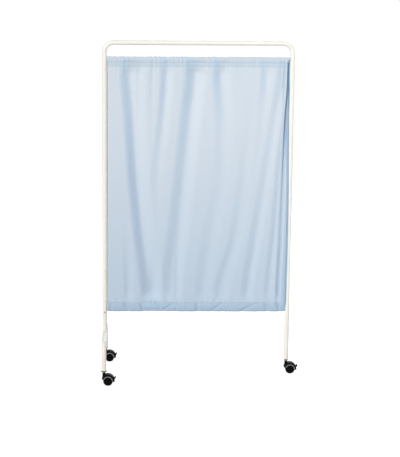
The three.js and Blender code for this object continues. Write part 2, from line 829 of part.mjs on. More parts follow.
// The origin is the middle of the screen's footprint, on the floor
const footprint = new THREE.Box3().setFromObject(screen).getCenter(new THREE.Vector3());
screen.position.x = -footprint.x;

export default screen;
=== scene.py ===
# A one-panel ward privacy screen on three swivel casters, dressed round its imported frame.
# Lengths are in metres: X runs across the screen, Y from front to back, Z up from the floor.

import json
import math

import bmesh
import bpy
import numpy as np
from mathutils import Matrix, Vector


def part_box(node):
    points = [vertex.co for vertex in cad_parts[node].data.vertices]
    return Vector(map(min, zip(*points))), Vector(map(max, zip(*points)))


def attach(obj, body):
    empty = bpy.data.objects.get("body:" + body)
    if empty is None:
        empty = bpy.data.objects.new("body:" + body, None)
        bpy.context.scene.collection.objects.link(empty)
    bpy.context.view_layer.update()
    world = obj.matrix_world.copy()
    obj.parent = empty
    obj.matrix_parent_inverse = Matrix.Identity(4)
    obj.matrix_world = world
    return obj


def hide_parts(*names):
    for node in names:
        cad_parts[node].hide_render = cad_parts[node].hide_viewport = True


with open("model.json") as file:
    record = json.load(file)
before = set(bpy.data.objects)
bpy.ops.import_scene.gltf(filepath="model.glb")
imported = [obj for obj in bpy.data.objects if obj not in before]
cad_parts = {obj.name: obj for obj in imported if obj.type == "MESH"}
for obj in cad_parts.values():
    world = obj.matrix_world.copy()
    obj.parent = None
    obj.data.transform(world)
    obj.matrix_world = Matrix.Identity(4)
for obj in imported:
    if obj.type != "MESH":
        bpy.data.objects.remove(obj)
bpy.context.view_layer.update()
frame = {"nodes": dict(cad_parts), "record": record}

# Camera, fitted to the photograph
CAMERA_PLACE = (-0.3380, -7.7409, 2.3243)
CAMERA_TURN = -1.276  # degrees to the left of straight ahead
CAMERA_DIP = 11.208  # degrees down from level
CAMERA_ROLL = 0.405  # degrees
CAMERA_LENS = 117.545  # millimetres
CAMERA_SENSOR = 36  # its width in millimetres
CAMERA_SHIFT = 0.0656  # the photograph is cut a little to one side of the lens's middle
CAMERA_FAR = 160.0  # what lies further away isn't drawn

# Light
WORLD_LEVEL = 0.37
WORLD_COLOR = (0.91, 0.955, 1.0, 1.0)
KEY_TURN = 46  # degrees to the left of the front
KEY_RISE = 25  # degrees above level
KEY_SOFTNESS = 16  # degrees that it spans
KEY_STRENGTH = 1.92
KEY_COLOR = (1.0, 0.955, 0.875)
# Softboxes: the place of each, what it is aimed at, its size and its power
SOFTBOXES = {
    "front softbox": ((0.5, -3.4, 2.5), (0.0, 0.0, 1.3), 2.2, 40.0),
    "side softbox": ((3.4, -0.4, 1.8), (0.0, 0.0, 1.2), 1.8, 32.0),  # for sides that look away from the key
    "back softbox": ((1.0, 3.8, 2.7), (0.0, 0.0, 1.0), 2.6, 95.0),
}
FLOOR_REACH = 40.0
FLOOR_COLOR = 0.55
FLOOR_ROUGHNESS = 0.9
FLOOR_LIFT = 0.7  # what the camera adds to the floor, so that it is white but keeps a shadow

# Surfaces: noise scales are counts in a metre, and a spread is the part of a noise's range that is used
GRAIN_SCALE = 1500.0
GRAIN_DEPTH = 0.00003
COARSE_GRAIN_DEPTH = 0.00004  # of paint and moulded plastic
TREAD_GRAIN_DEPTH = 0.00006
PATCH_SCALE = 14.0
PATCH_SPREAD = (0.3, 0.7)
FLECK_SPREAD = (0.35, 0.65)
FLECK_COARSER = 3  # than the grain
FLECK_SMOOTHER = 0.05  # what flecks take from the roughness at most
FLECK_ROUGHER = 0.07  # what they add to it at most
DUST_HEIGHT = 0.25  # above the floor, up to which dust lies on a piece
# Height above the floor up to which the cream paint turns darker towards the bottom
PAINT_DARKENING_HEIGHT = 0.75
CASTER_DUST_HEIGHT = 0.06
TREAD_DUST_HEIGHT = 0.03
DUST_SCALE = 90.0
DUST_SPREAD = (0.35, 0.7)
DUST_LEAST = 0.3  # that lies between the patches of dust
DUST_UPWARD = 0.25  # on faces that look up, against that at the floor
DUST_ROUGHNESS = 0.3  # that full dust adds
BUMP_STRENGTH = 0.5
THREAD_PITCH = 0.0007
THREAD_BUMP = 0.00012
WEAVE_SHARE = 0.25  # of that bump, against its slubs
WEAVE_ROUGHNESS = (0.88, 0.96)
SLUB_FINE = 900.0
SLUB_LONG = 25.0
SLUB_SPREAD = (0.7, 1.3)
CREASE_SCALES = (28.0, 4.0, 1.0)
CREASE_BUMP = 0.006
CREASE_STRENGTH = 0.12
SOFT_SCALE = 5.0  # of broad patches in the cloth
SOFT_SPREAD = (0.35, 0.65)
SOFT_SHARE = 0.5

# Meshes
WELD = 0.000001
SEAT_GAP = 0.0003  # between pieces that sit in or on each other
EDGE_ROUND = 0.0005
CORNER_STEPS = 3
FINE_CORNER_STEPS = 4
CORNER_REACH_SHARE = 0.45  # of a side, that a rounded corner may take up
SHARP_ANGLE = 35  # degrees between faces that meet in a sharp edge
SOFTENED_SHARP_ANGLE = 50  # the same on a piece whose edges are rounded
CUT_PAST = 0.002  # by which a cutter reaches past what it cuts
CUTTER_HALF = 0.02  # half the length of a cutter for a hole along Y

# Bent tubes
TUBE_WALL = 0.0015
BEND_RADIUS = 0.05  # at the tube's centre line
BEND_STEPS = 24
TUBE_SIDES = 48
STRAIGHT_STEP = 0.05

# Rod bushes and rods
BUSH_BORE = 0.0053
BUSH_SLEEVE_RADIUS = 0.0061
BUSH_FLANGE_RADIUS = 0.008
BUSH_FACE = 0.0015  # from the post's nearest line to the flange's outer face
BUSH_SLEEVE_LENGTH = 0.004
ROD_RADIUS = 0.005
ROD_WALL = 0.001
ROD_CLEAR_RADIUS = 0.0056  # inside which nothing of the cloth's middle comes
ROD_SIDES = 32

# Spigot screw
SCREW_FACE_SHARE = 0.6  # of the head's radius, how wide its end face is
SCREW_DOME_SHARE = 0.31  # of it, how far back the head is rounded
SCREW_SHANK_RADIUS = 0.0023
SCREW_ROUND = 0.0009
SCREW_SIDES = 40
CROSS_HALF_LENGTH = 0.0022
CROSS_HALF_WIDTH = 0.0004
CROSS_DEPTH = 0.0011
CROSS_ROUND = 0.0003
CROSS_TURN = 20  # degrees that its slots are turned

# Curtain
CLOTH_THICKNESS = 0.0006
CLOTH_SHARP_ANGLE = 70  # degrees, so that only its cut edges are sharp
LAYER_GAP = 0.0016  # between the middles of two layers that lie together
CHANNEL_RADIUS = 0.0062  # of the cloth round a rod, between its gathers
CHANNEL_END_RADIUS = 0.0093  # where it goes round a bush's flange
CHANNEL_END_LENGTH = 0.03  # over which it gets that wide
CHANNEL_END_KEEP_SHARE = 0.3  # of that length, along which it stays so
TOP_HEM = 0.05  # from the top edge to the end of the turned-in cloth
TOP_STITCH = 0.029
BOTTOM_HEM = 0.045
BOTTOM_HEM_SHADE = 2.7  # how much more painted shade the bottom hem gets, against the top hem's
SIDE_HEM = 0.011
SEAM_HALF = 0.0017  # of the pressed groove along a stitch line
SEAM_DEPTH = 0.0009
FOLD_DEPTH = 0.0240
FOLD_FRONT = -0.0085  # where the cloth stands between its folds
EDGE_BACK = 0.0015  # where its side edges stand, beside the posts
EDGE_TURN = 0.009  # over which they turn back
OVERLAP = 0.0062  # how far the right edge reaches in front of its post
OVERLAP_SHARES = (0.85, 1.0, 0.95, 0.75, 0.0)
OVERLAP_FRONT = -0.0122  # where that edge stands
OVERLAP_BULGE = -0.0200  # where the cloth comes forward before it
OVERLAP_REACH = 0.028
RIGHT_EDGE_TURN = 0.0115
POST_CLEARANCE = 0.0006

# Gathers and hems
SWELL_DEPTH = 0.0015  # of slow waves over the whole curtain
SWELL_WAVES = 1.7  # across it
SWELL_SLANT = 0.4  # of a wave, by which they lean from bottom to top
GATHER_DEPTH = 0.0034
GATHER_REACH = 0.075  # from a stitch line to where they end
GATHER_SLANT = 0.35
SLANT_HALF_WAVES = 6  # across the curtain, in which the gathers lean to either side
HEM_GATHER_DEPTH = 0.0062
HEM_FULLNESS = 0.75  # of that depth, on the whole
HEM_UNEVENNESS = 0.5  # of it, that the gathers add and take
HEM_SLANT = 0.8
HEM_SAG = 0.0055  # by which the bottom hem hangs below its rod's clearance
HEM_SAG_LESS_SHARE = 0.6  # of a pucker's depth, which takes that much from the sag
TOP_GATHER_COUNTS = (27, 61)  # of half waves across the curtain, coarse and fine
HEM_GATHER_COUNTS = (13, 33)
COARSE_GATHER_SHARE = 0.6
# How these waves wander: by how much, in how many half waves and from which phase
COARSE_WANDERS = ((1.9, 6, 0), (1.1, 14, 1))
FINE_WANDERS = ((2.3, 10, 2),)
# Creases across the bottom hem: where each starts at the stitch line and ends below, as shares
HEM_CREASE_SHARES = (
    (0.012, 0.020), (0.087, 0.120), (0.176, 0.207), (0.276, 0.301), (0.382, 0.310), (0.500, 0.510),
    (0.649, 0.588), (0.844, 0.755), (0.885, 0.905), (0.958, 0.972),
)
HEM_CREASE_HALF_SHARE = 0.015  # of the curtain's width, from a crease's middle to its side
HEM_CREASE_DEPTH = 0.0045
PINCH_SHARE = 0.32  # of the folds' depth, that is left at a channel's stitches
OPEN_REACH = 0.06  # from the stitches to where the folds have their depth
CLOTH_SHADE_FULL_BELOW = 0.30  # heights between which the painted shade towards the bottom fades out
CLOTH_SHADE_NONE_ABOVE = 1.35
CHANNEL_DRAW_SHARE = 0.2  # of a fold's depth, by which it draws the channel in
CHANNEL_FLATTER_SHARE = 0.3  # of that, by which the channel gets less high

# Heights at which the folds below are given, as shares of the curtain's height
FOLD_LEVEL_SHARES = (0.06, 0.29, 0.53, 0.76, 0.95)

# Each fold falls back across a dark flank and comes forward again over a lit one.
# The rows give the dark flank's middle and the depth at those heights, as shares,
# and the widths of the two flanks.
FOLDS = (
    ((0.206, 0.168, 0.133, 0.112, 0.092), (1.1, 1.2, 1.25, 1.15, 1.05), 0.062, 0.076),
    ((0.247, 0.250, 0.254, 0.288, 0.305), (0.35, 0.1, 0.20, 0.45, 0.65), 0.040, 0.044),
    ((0.316, 0.354, 0.390, 0.422, 0.449), (0.60, 0.72, 0.78, 0.95, 1.15), 0.068, 0.070),
    ((0.508, 0.545, 0.605, 0.612, 0.597), (0.40, 0.25, 0.2, 0.4, 0.85), 0.056, 0.060),
    ((0.611, 0.692, 0.736, 0.765, 0.790), (0.35, 0.3, 0.2, 0.1, 0.0), 0.045, 0.060),
    ((0.700, 0.760, 0.800, 0.835, 0.855), (0.0, 0.0, 0.1, 0.2, 0.45), 0.040, 0.045),
    ((0.766, 0.808, 0.856, 0.905, 0.945), (0.45, 0.4, 0.35, 0.35, 0.45), 0.045, 0.040),
    ((0.892, 0.917, 0.940, 0.958, 0.965), (0.30, 0.3, 0.25, 0.25, 0.0), 0.030, 0.036),
    ((0.100, 0.095, 0.090, 0.084, 0.080), (0.30, 0.1, 0.0, 0.0, 0.0), 0.030, 0.040),
    ((0.380, 0.388, 0.396, 0.404, 0.412), (0.30, 0.05, 0.0, 0.0, 0.0), 0.026, 0.036),
    ((0.166, 0.166, 0.170, 0.170, 0.166), (0.0, 0.0, 0.0, 0.05, 0.35), 0.026, 0.034),
    ((0.234, 0.234, 0.234, 0.234, 0.236), (0.0, 0.0, 0.0, 0.05, 0.2), 0.020, 0.026),
)

# The deep fold beside the right post: how far its front edge stands from the post,
# and how far it is folded over at the same heights
RIGHT_FOLD_FROM_POST = (0.058, 0.051, 0.040, 0.027, 0.0168)
RIGHT_FOLD_SHARES = (0.0, 0.0, 0.10, 0.55, 1.0)
RIGHT_FOLD_DEPTH = 0.026
RIGHT_FOLD_SOFT_WIDTH = 0.036
RIGHT_FOLD_SOFT_DEPTH = 0.0100
RIGHT_FOLD_SOFT_SHARE = 0.6  # of its width, over which it falls back
STRIP_PAINTED_SHADE_SHARES = (0.5, 0.5, 0.75, 1.0, 1.0)  # of the painted shade below, at the same heights
STRIP_PAINTED_SHADE = 0.58  # how much painted shade the strip beside the post gets, at most
STRIP_KEEP_SHARE = 0.7  # of its depth, that this strip keeps up to its edge
# The fold's outline in plan, across in shares of the tip's size and back in shares of its depth
RIGHT_FOLD_TIP = 0.0024
RIGHT_FOLD_OUTLINE_SHARES = (
    (0.0, 0.0), (0.8, 0.03), (1.0, 0.12), (0.4, 0.3), (-0.4, 0.55),
    (-0.4, 0.8), (0.2, 0.96), (1.1, 1.0), (2.2, 0.92),
)

# Columns and rows of the curtain's mesh
EDGE_COLUMNS = 9
PANEL_COLUMNS = 270
FOLD_COLUMNS = 18
STRIP_COLUMNS = 18
LEAST_COLUMN = 0.001  # a column's width, below which a fold's slope isn't counted
SEAM_ROW_SHARES = (-1.5, -1, -0.5, 0, 0.5, 1, 1.5)  # of a seam's half width, where it has rows
SEAM_CLEAR_SHARE = 1.6  # of that, within which there are no others
FRONT_ROWS = 96
FRONT_CROWDING = 0.5  # how much closer they stand at the stitch lines
HEM_ROWS = 6
LOOP_ROWS = 11
CHANNEL_ROW_SHARES = (0.2, 0.4, 0.6, 0.8)  # from the stitch line to the rod's height, in front
TOP_BACK_ROW_SHARES = (0.2, 0.45, 0.7)  # the same behind the rods
BOTTOM_BACK_ROW_SHARES = (0.75, 0.5, 0.25, 0.0)

# Stitches
STITCH_PITCH = 0.0034
STITCH_LENGTH = 0.0029
STITCH_THICKNESS = 0.0006
STITCH_SPHERE = {"Segments": 6, "Rings": 4, "Radius": 0.5}  # that is scaled to a stitch
STITCH_FROM_EDGE = 0.0015  # from a hem's inner edge to its row of stitches

# Casters, in each caster's own place: the swivel axis is at X 0, the axle behind it
WHEEL_RADIUS = 0.025
WHEEL_INNER_Y = 0.0095
WHEEL_OUTER_Y = 0.023
TYRE_THICKNESS = 0.004
TYRE_SHOULDER = 0.0016
TYRE_SIDE_STEP = 0.0006
TYRE_CORNER_STEPS = 5
RIM_WALL = 0.0022
DISC_THICKNESS = 0.0024
DISC_DISH = 0.0011
DISH_OUTER_SHARE = 1.6  # of the rim's wall, from the rim to where the dish is deepest
DISH_INNER_SHARE = 1.15  # of the hub's radius, where it starts to rise again
HUB_STEP_SHARE = 0.2  # of the dish's depth
HUB_RADIUS = 0.006
HUB_INNER_Y = 0.0036
AXLE_BORE = 0.00325
WHEEL_SIDES = 64
BARREL_RADIUS = 0.008
BARREL_BOTTOM = 0.028
BARREL_TOP = 0.065
BARREL_BORE = 0.0044
BARREL_ROUND = 0.0012
WEB_HALF = 0.003
BOSS_RADIUS = 0.007
HOOD_RADIUS = 0.034
HOOD_WALL = 0.0026
HOOD_ROUND = 0.0016
HOOD_FLAT_HALF = 0.0185
HOOD_SIDE_Y = 0.026
HOOD_SIDE_WALL = 0.002
LIP_INNER = 0.0205
LIP_OUTER = 0.0275
LIP_SLOPE = 0.0008
HOOD_FROM = -8  # degrees round the axle from straight back
HOOD_TO = 165
HOOD_STEPS = 56
ROOF_END = 40
ROOF_STEPS = 24
SLOT_END = -13
SLOT_STEPS = 10
SLOT_OUTER_STEPS = 4
WEB_FRONT = 145
BOSS_FROM = 190
BOSS_TO = 370
BOSS_STEPS = 16
BEAD_RADIUS = 0.0236  # of the painted highlight along the lip
BEAD_HALF_WIDTH = 0.0019
BEAD_HEIGHT = 0.0005
BEAD_LIFT = 0.00002
BEAD_FROM = -2
BEAD_TO = 160
BEAD_STEPS = 60
BEAD_PROFILE_STEPS = 8
PEDAL_HALF = 0.0155
PEDAL_SIDE_GAP = 0.001
SHOE_RADIUS = 0.0283
SHOE_STEPS = 14
PEDAL_BACK = 0.0355
PEDAL_BACK_STEPS = 8
PEDAL_FROM = -10
PEDAL_TO = 30
PEDAL_TAB = 14
PEDAL_TIP = (0.0420, 0.0165)
PEDAL_TIP_THICKNESS = 0.0042
PEDAL_ROUND = 0.0016
PEDAL_ROOT = 0.005
PEDAL_RIDGES = 5
RIDGE_PITCH = 0.0017
RIDGE_FIRST_SHARE = 1.3  # of the pitch, from the tab's end to the first ridge
RIDGE_RADIUS = 0.00055
RIDGE_SPHERE = {"Segments": 10, "Rings": 8, "Radius": 1.0}  # that is scaled to a ridge
RIDGE_END_GAP = 0.003  # from a ridge's end to the pedal's side
PIN_ORBIT = 0.031
PIN_ANGLE = 12
PIN_RADIUS = 0.0015
STEM_RADIUS = 0.005
NUT_ACROSS_FLATS = 0.017
NUT_SIDES = 6
NUT_CONE_PAST = 0.0002
NUT_CHAMFER_SHARE = 0.6  # of the corners' reach past the flats, how high they are cut

# Places taken from the frame

def middle(node):
    """The middle of a CAD node's box"""
    return [(low + high) / 2 for low, high in zip(*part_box(node))]


tube_low, tube_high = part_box("frame_tube")
hoop_low, hoop_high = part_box("foot_hoop")
cloth_low, cloth_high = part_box("curtain")
tube_radius = (tube_high.y - tube_low.y) / 2
left_post = tube_low.x + tube_radius
right_post = tube_high.x - tube_radius
frame_top = tube_high.z
tube_end = hoop_low.z
hoop_axis = hoop_high.z - tube_radius
top_rod_z = middle("top_rod")[2]
bottom_rod_z = middle("bottom_rod")[2]
axle_x = middle("front_axle")[0] - middle("front_stem")[0]
axle_z = middle("front_axle")[2]
cloth_height = cloth_high.z - cloth_low.z
cloth_width = cloth_high.x - cloth_low.x
left_line = left_post + tube_radius  # the posts' inner sides
right_line = right_post - tube_radius
top_line = cloth_high.z - TOP_STITCH  # stitch lines, from above
hem_line = cloth_high.z - TOP_HEM
bottom_line = cloth_low.z + BOTTOM_HEM
stitch_lines = (top_line, hem_line, bottom_line)


# Meshes

def polar(radius, degrees):
    angle = math.radians(degrees)
    return radius * math.cos(angle), radius * math.sin(angle)


def circle(radius, sides):
    """The corners of a regular polygon round the origin"""
    return [polar(radius, 360 * k / sides) for k in range(sides)]


def arc(radius, start, end, steps):
    """Points on a circle between two angles in degrees"""
    return [polar(radius, start + (end - start) * i / steps) for i in range(steps + 1)]


def rounded(points, radius, steps=CORNER_STEPS, closed=True):
    """The outline with each corner replaced by a short curve. An open one keeps its ends."""
    result = []
    for i, point in enumerate(points):
        if not closed and i in (0, len(points) - 1):
            result.append(tuple(point))
            continue
        corner = Vector(point)
        before = Vector(points[i - 1]) - corner
        after = Vector(points[(i + 1) % len(points)]) - corner
        reach = min(radius, CORNER_REACH_SHARE * before.length, CORNER_REACH_SHARE * after.length)
        start = corner + before.normalized() * reach
        end = corner + after.normalized() * reach
        for k in range(steps + 1):
            t = k / steps
            result.append(tuple((1 - t) ** 2 * start + 2 * t * (1 - t) * corner + t * t * end))
    return result


def add_object(name, data):
    """A new object in the scene"""
    item = bpy.data.objects.new(name, data)
    bpy.context.scene.collection.objects.link(item)
    return item


def new_piece(name, vertices, faces, edges=()):
    mesh = bpy.data.meshes.new(name)
    mesh.from_pydata([tuple(vertex) for vertex in vertices], edges, faces)
    return add_object(name, mesh)


def tidy_mesh(piece, sharp_angle=SHARP_ANGLE):
    """Merge doubles, turn the faces outwards and shade the piece"""
    work = bmesh.new()
    work.from_mesh(piece.data)
    bmesh.ops.remove_doubles(work, verts=work.verts, dist=WELD)
    bmesh.ops.recalc_face_normals(work, faces=work.faces)
    work.to_mesh(piece.data)
    work.free()
    piece.data.shade_smooth()
    piece.data.set_sharp_from_angle(angle=math.radians(sharp_angle))
    return piece


def skin(name, rings, round_trip=False, capped=False):
    """A skin over rings of points. A ring of one point is a pole."""
    vertices = []
    indices = []
    sides = max(len(ring) for ring in rings)
    for ring in rings:
        first = len(vertices)
        vertices.extend(ring)
        indices.append([first + (k if len(ring) > 1 else 0) for k in range(sides)])
    pairs = list(zip(indices, indices[1:]))
    if round_trip:
        pairs.append((indices[-1], indices[0]))
    faces = []
    for lower, upper in pairs:
        for k in range(sides):
            j = (k + 1) % sides
            face = list(dict.fromkeys((lower[k], lower[j], upper[j], upper[k])))
            if len(face) > 2:
                faces.append(face)
    if capped:
        faces.extend((indices[0], indices[-1]))
    return tidy_mesh(new_piece(name, vertices, faces))


def turned(name, profile, sides=TUBE_SIDES):
    """A profile of radius and height turned about Z. It closes on the axis or on itself."""
    rings = []
    for radius, height in profile:
        if radius < WELD:
            rings.append([Vector((0, 0, height))])
            continue
        rings.append([Vector((x, y, height)) for x, y in circle(radius, sides)])
    return skin(name, rings, round_trip=profile[0][0] >= WELD)


def plate(name, outline, half_thickness):
    """An outline in X and Z with its thickness along Y"""
    rings = [[Vector((x, y, z)) for x, z in outline] for y in (-half_thickness, half_thickness)]
    return skin(name, rings, capped=True)


def moved(piece, matrix):
    """Put the place into the mesh, so that the object stays at the origin"""
    piece.data.transform(matrix)
    if matrix.determinant() < 0:
        piece.data.flip_normals()
    return piece


def copied(piece, name):
    return add_object(name, piece.data.copy())


def bake_modifiers(piece):
    """Keep the mesh that the piece's modifiers make, without them"""
    graph = bpy.context.evaluated_depsgraph_get()
    mesh = bpy.data.meshes.new_from_object(piece.evaluated_get(graph))
    piece.modifiers.clear()
    piece.data = mesh
    return piece


def combined(piece, others, operation):
    """Join the others to a piece or cut them out of it"""
    for other in others:
        modifier = piece.modifiers.new("combine", "BOOLEAN")
        modifier.operation = operation
        modifier.solver = "EXACT"
        modifier.object = other
    bake_modifiers(piece)
    for other in others:
        bpy.data.objects.remove(other)
    return tidy_mesh(piece)


def softened(piece):
    """Round the piece's sharp edges a little"""
    modifier = piece.modifiers.new("soften", "BEVEL")
    modifier.width = EDGE_ROUND
    modifier.segments = 2
    modifier.limit_method = "ANGLE"
    modifier.angle_limit = math.radians(SHARP_ANGLE)
    modifier.harden_normals = False
    bake_modifiers(piece)
    return tidy_mesh(piece, SOFTENED_SHARP_ANGLE)


about_y = Matrix.Rotation(math.radians(-90), 4, "X")  # turns the Z axis onto the Y axis
about_x = Matrix.Rotation(math.radians(90), 4, "Y")  # turns the Z axis onto the X axis
to_axle = Matrix.Translation((axle_x, 0, axle_z))


# Materials

def add_node(tree, kind, inputs=None, **settings):
    """A node with its inputs linked or set, and its own settings"""
    node = tree.nodes.new(kind)
    for name, value in settings.items():
        setattr(node, name, value)
    for socket, value in (inputs or {}).items():
        if isinstance(value, bpy.types.NodeSocket):
            tree.links.new(value, node.inputs[socket])
        else:
            node.inputs[socket].default_value = value
    return node


def math_node(tree, operation, *values):
    return add_node(tree, "ShaderNodeMath", dict(enumerate(values)), operation=operation).outputs[0]


def remap(tree, value, spread, to_low=0.0, to_high=1.0):
    """Turn a value that runs over a spread into one between two others, and keep it there"""
    low, high = spread
    inputs = {"Value": value, "From Min": low, "From Max": high, "To Min": to_low, "To Max": to_high}
    return add_node(tree, "ShaderNodeMapRange", inputs).outputs["Result"]


def mix_colors(tree, factor, first, second):
    """Mix two colours. The mix node has its colours at sockets 6 and 7, and the result at 2."""
    return add_node(tree, "ShaderNodeMix", {0: factor, 6: first, 7: second}, data_type="RGBA").outputs[2]


def object_place(tree):
    return add_node(tree, "ShaderNodeTexCoord").outputs["Object"]


def noise(tree, place, scale, detail=2.0):
    inputs = {"Vector": place, "Scale": scale, "Detail": detail}
    return add_node(tree, "ShaderNodeTexNoise", inputs).outputs["Fac"]


def stretched_noise(tree, place, scales, detail=2.0):
    """Noise with its own scale along each axis"""
    mapping = add_node(tree, "ShaderNodeMapping", {"Vector": place, "Scale": scales})
    return noise(tree, mapping.outputs["Vector"], 1.0, detail)


def along_axis(tree, vector, axis):
    """One number of a vector"""
    return add_node(tree, "ShaderNodeSeparateXYZ", {0: vector}).outputs[axis]


def cloth_mark(tree, name, amount):
    """A mark that the cloth's mesh carries, times an amount"""
    mark = add_node(tree, "ShaderNodeAttribute", attribute_name=name).outputs["Fac"]
    return math_node(tree, "MULTIPLY", mark, amount)


def bumped(tree, height, depth, strength=BUMP_STRENGTH, **over):
    """The surface's direction under a bump, which may lie over a wider one"""
    inputs = {"Height": height, "Distance": depth, "Strength": strength, **over}
    return add_node(tree, "ShaderNodeBump", inputs).outputs["Normal"]


def add_sockets(tree, side, kind, names):
    for name in names:
        tree.interface.new_socket(name, in_out=side, socket_type=f"NodeSocket{kind}")


def new_group(name, inputs, outputs):
    """A shader group with number inputs and number outputs"""
    tree = bpy.data.node_groups.new(name, "ShaderNodeTree")
    add_sockets(tree, "INPUT", "Float", inputs)
    add_sockets(tree, "OUTPUT", "Float", outputs)
    return tree, tree.nodes.new("NodeGroupInput").outputs, tree.nodes.new("NodeGroupOutput").inputs


def mottle_group():
    """Large soft patches and small flecks, from 0 to 1 each"""
    tree, given, result = new_group("surface mottle", ("Patch Scale", "Fleck Scale"), ("Patches", "Flecks"))
    place = object_place(tree)
    patches = noise(tree, place, given["Patch Scale"], detail=4.0)
    flecks = noise(tree, place, given["Fleck Scale"])
    tree.links.new(remap(tree, patches, PATCH_SPREAD), result["Patches"])
    tree.links.new(remap(tree, flecks, FLECK_SPREAD), result["Flecks"])
    return tree


def dust_group():
    """Dust that gathers near the floor and on faces that look up"""
    tree, given, result = new_group("floor dust", ("Height", "Upward", "Amount"), ("Dust",))
    place = object_place(tree)
    normal = add_node(tree, "ShaderNodeNewGeometry").outputs["Normal"]
    low = math_node(tree, "DIVIDE", along_axis(tree, place, "Z"), given["Height"])
    low = math_node(tree, "MAXIMUM", math_node(tree, "SUBTRACT", 1.0, low), 0.0)
    facing = math_node(tree, "MAXIMUM", along_axis(tree, normal, "Z"), 0.0)
    both = math_node(tree, "ADD", low, math_node(tree, "MULTIPLY", facing, given["Upward"]))
    broken = remap(tree, noise(tree, place, DUST_SCALE, detail=5.0), DUST_SPREAD, DUST_LEAST)
    amount = math_node(tree, "MULTIPLY", math_node(tree, "MULTIPLY", both, broken), given["Amount"])
    tree.links.new(math_node(tree, "MINIMUM", amount, 1.0), result["Dust"])
    return tree


MOTTLE = mottle_group()
DUST = dust_group()


def use_group(tree, group, **inputs):
    """A group in a material, its numbers set by their names in small letters"""
    node = tree.nodes.new("ShaderNodeGroup")
    node.node_tree = group
    for label, value in inputs.items():
        node.inputs[label.replace("_", " ").title()].default_value = value
    return node.outputs


def new_material(name, metallic=0.0, **constants):
    """A material with its shader, whose constants stand on the shader's own sockets"""
    material = bpy.data.materials.new(name)
    material.use_nodes = True
    tree = material.node_tree
    shader = tree.nodes["Principled BSDF"]
    shader.inputs["Metallic"].default_value = metallic
    for label, value in constants.items():
        shader.inputs[label.replace("_", " ").title().replace("Ior", "IOR")].default_value = value
    return material, tree, shader


def connect(tree, shader, color, roughness, normal):
    tree.links.new(color, shader.inputs["Base Color"])
    tree.links.new(roughness, shader.inputs["Roughness"])
    tree.links.new(normal, shader.inputs["Normal"])


def solid_finish(name, base, patch, dust, roughness, metallic=0.0, grain=GRAIN_SCALE, depth=GRAIN_DEPTH,
                 dust_height=DUST_HEIGHT, dust_amount=0.3, edge_shade_amount=0.0, **constants):
    """Paint, plastic, rubber or plated metal: a base colour with patches, flecks, dust and fine grain, and
    painted shade along the outline where an edge shade amount is given
    """
    material, tree, shader = new_material(name, metallic, **constants)
    mottle = use_group(tree, MOTTLE, patch_scale=PATCH_SCALE, fleck_scale=grain / FLECK_COARSER)
    dusty = use_group(tree, DUST, height=dust_height, upward=DUST_UPWARD, amount=dust_amount)["Dust"]
    color = mix_colors(tree, mottle["Patches"], base, patch)
    color = mix_colors(tree, dusty, color, dust)
    # Painted shade: the colour turns towards the dust colour where the faces turn away from the view
    if edge_shade_amount:
        turned_away = add_node(tree, "ShaderNodeLayerWeight", {"Blend": 0.5}).outputs["Facing"]
        color = mix_colors(tree, math_node(tree, "MULTIPLY", turned_away, edge_shade_amount), color, dust)
    rough = remap(tree, mottle["Flecks"], (0.0, 1.0), roughness - FLECK_SMOOTHER, roughness + FLECK_ROUGHER)
    rough = math_node(tree, "ADD", rough, math_node(tree, "MULTIPLY", dusty, DUST_ROUGHNESS))
    connect(tree, shader, color, rough, bumped(tree, noise(tree, object_place(tree), grain), depth))
    return material


def rgb(red, green, blue):
    return (red, green, blue, 1.0)


CLOTH_COLOR = rgb(0.588, 0.664, 0.76)
CLOTH_SLUB_COLOR = rgb(0.645, 0.709, 0.792)
CLOTH_SOFT_COLOR = rgb(0.618, 0.694, 0.774)
# A bluer tint, painted as shade on the folds' dark flanks
CLOTH_FLANK_SHADE_COLOR = rgb(0.515, 0.665, 0.835)
# The colour of the painted shade towards the cloth's bottom
CLOTH_LOW_SHADE_COLOR = rgb(0.472, 0.582, 0.714)
# Marks of the mesh that paint shade on the cloth in turn: how much each does, and towards which colour
CLOTH_SHADE_MARKS = {
    # painted shade where the cloth lies in two layers, at its hems and side hems
    "doubled_shade": (0.34, rgb(0.395, 0.52, 0.66)),
    # painted shade in the pressed groove along each stitch line, with a little of the thread's colour
    "seam": (0.4, rgb(0.36, 0.45, 0.53)),
    # painted shade in the deep fold beside the right post and on the strip beside it
    "recess": (0.85, rgb(0.092, 0.28, 0.475)),
}


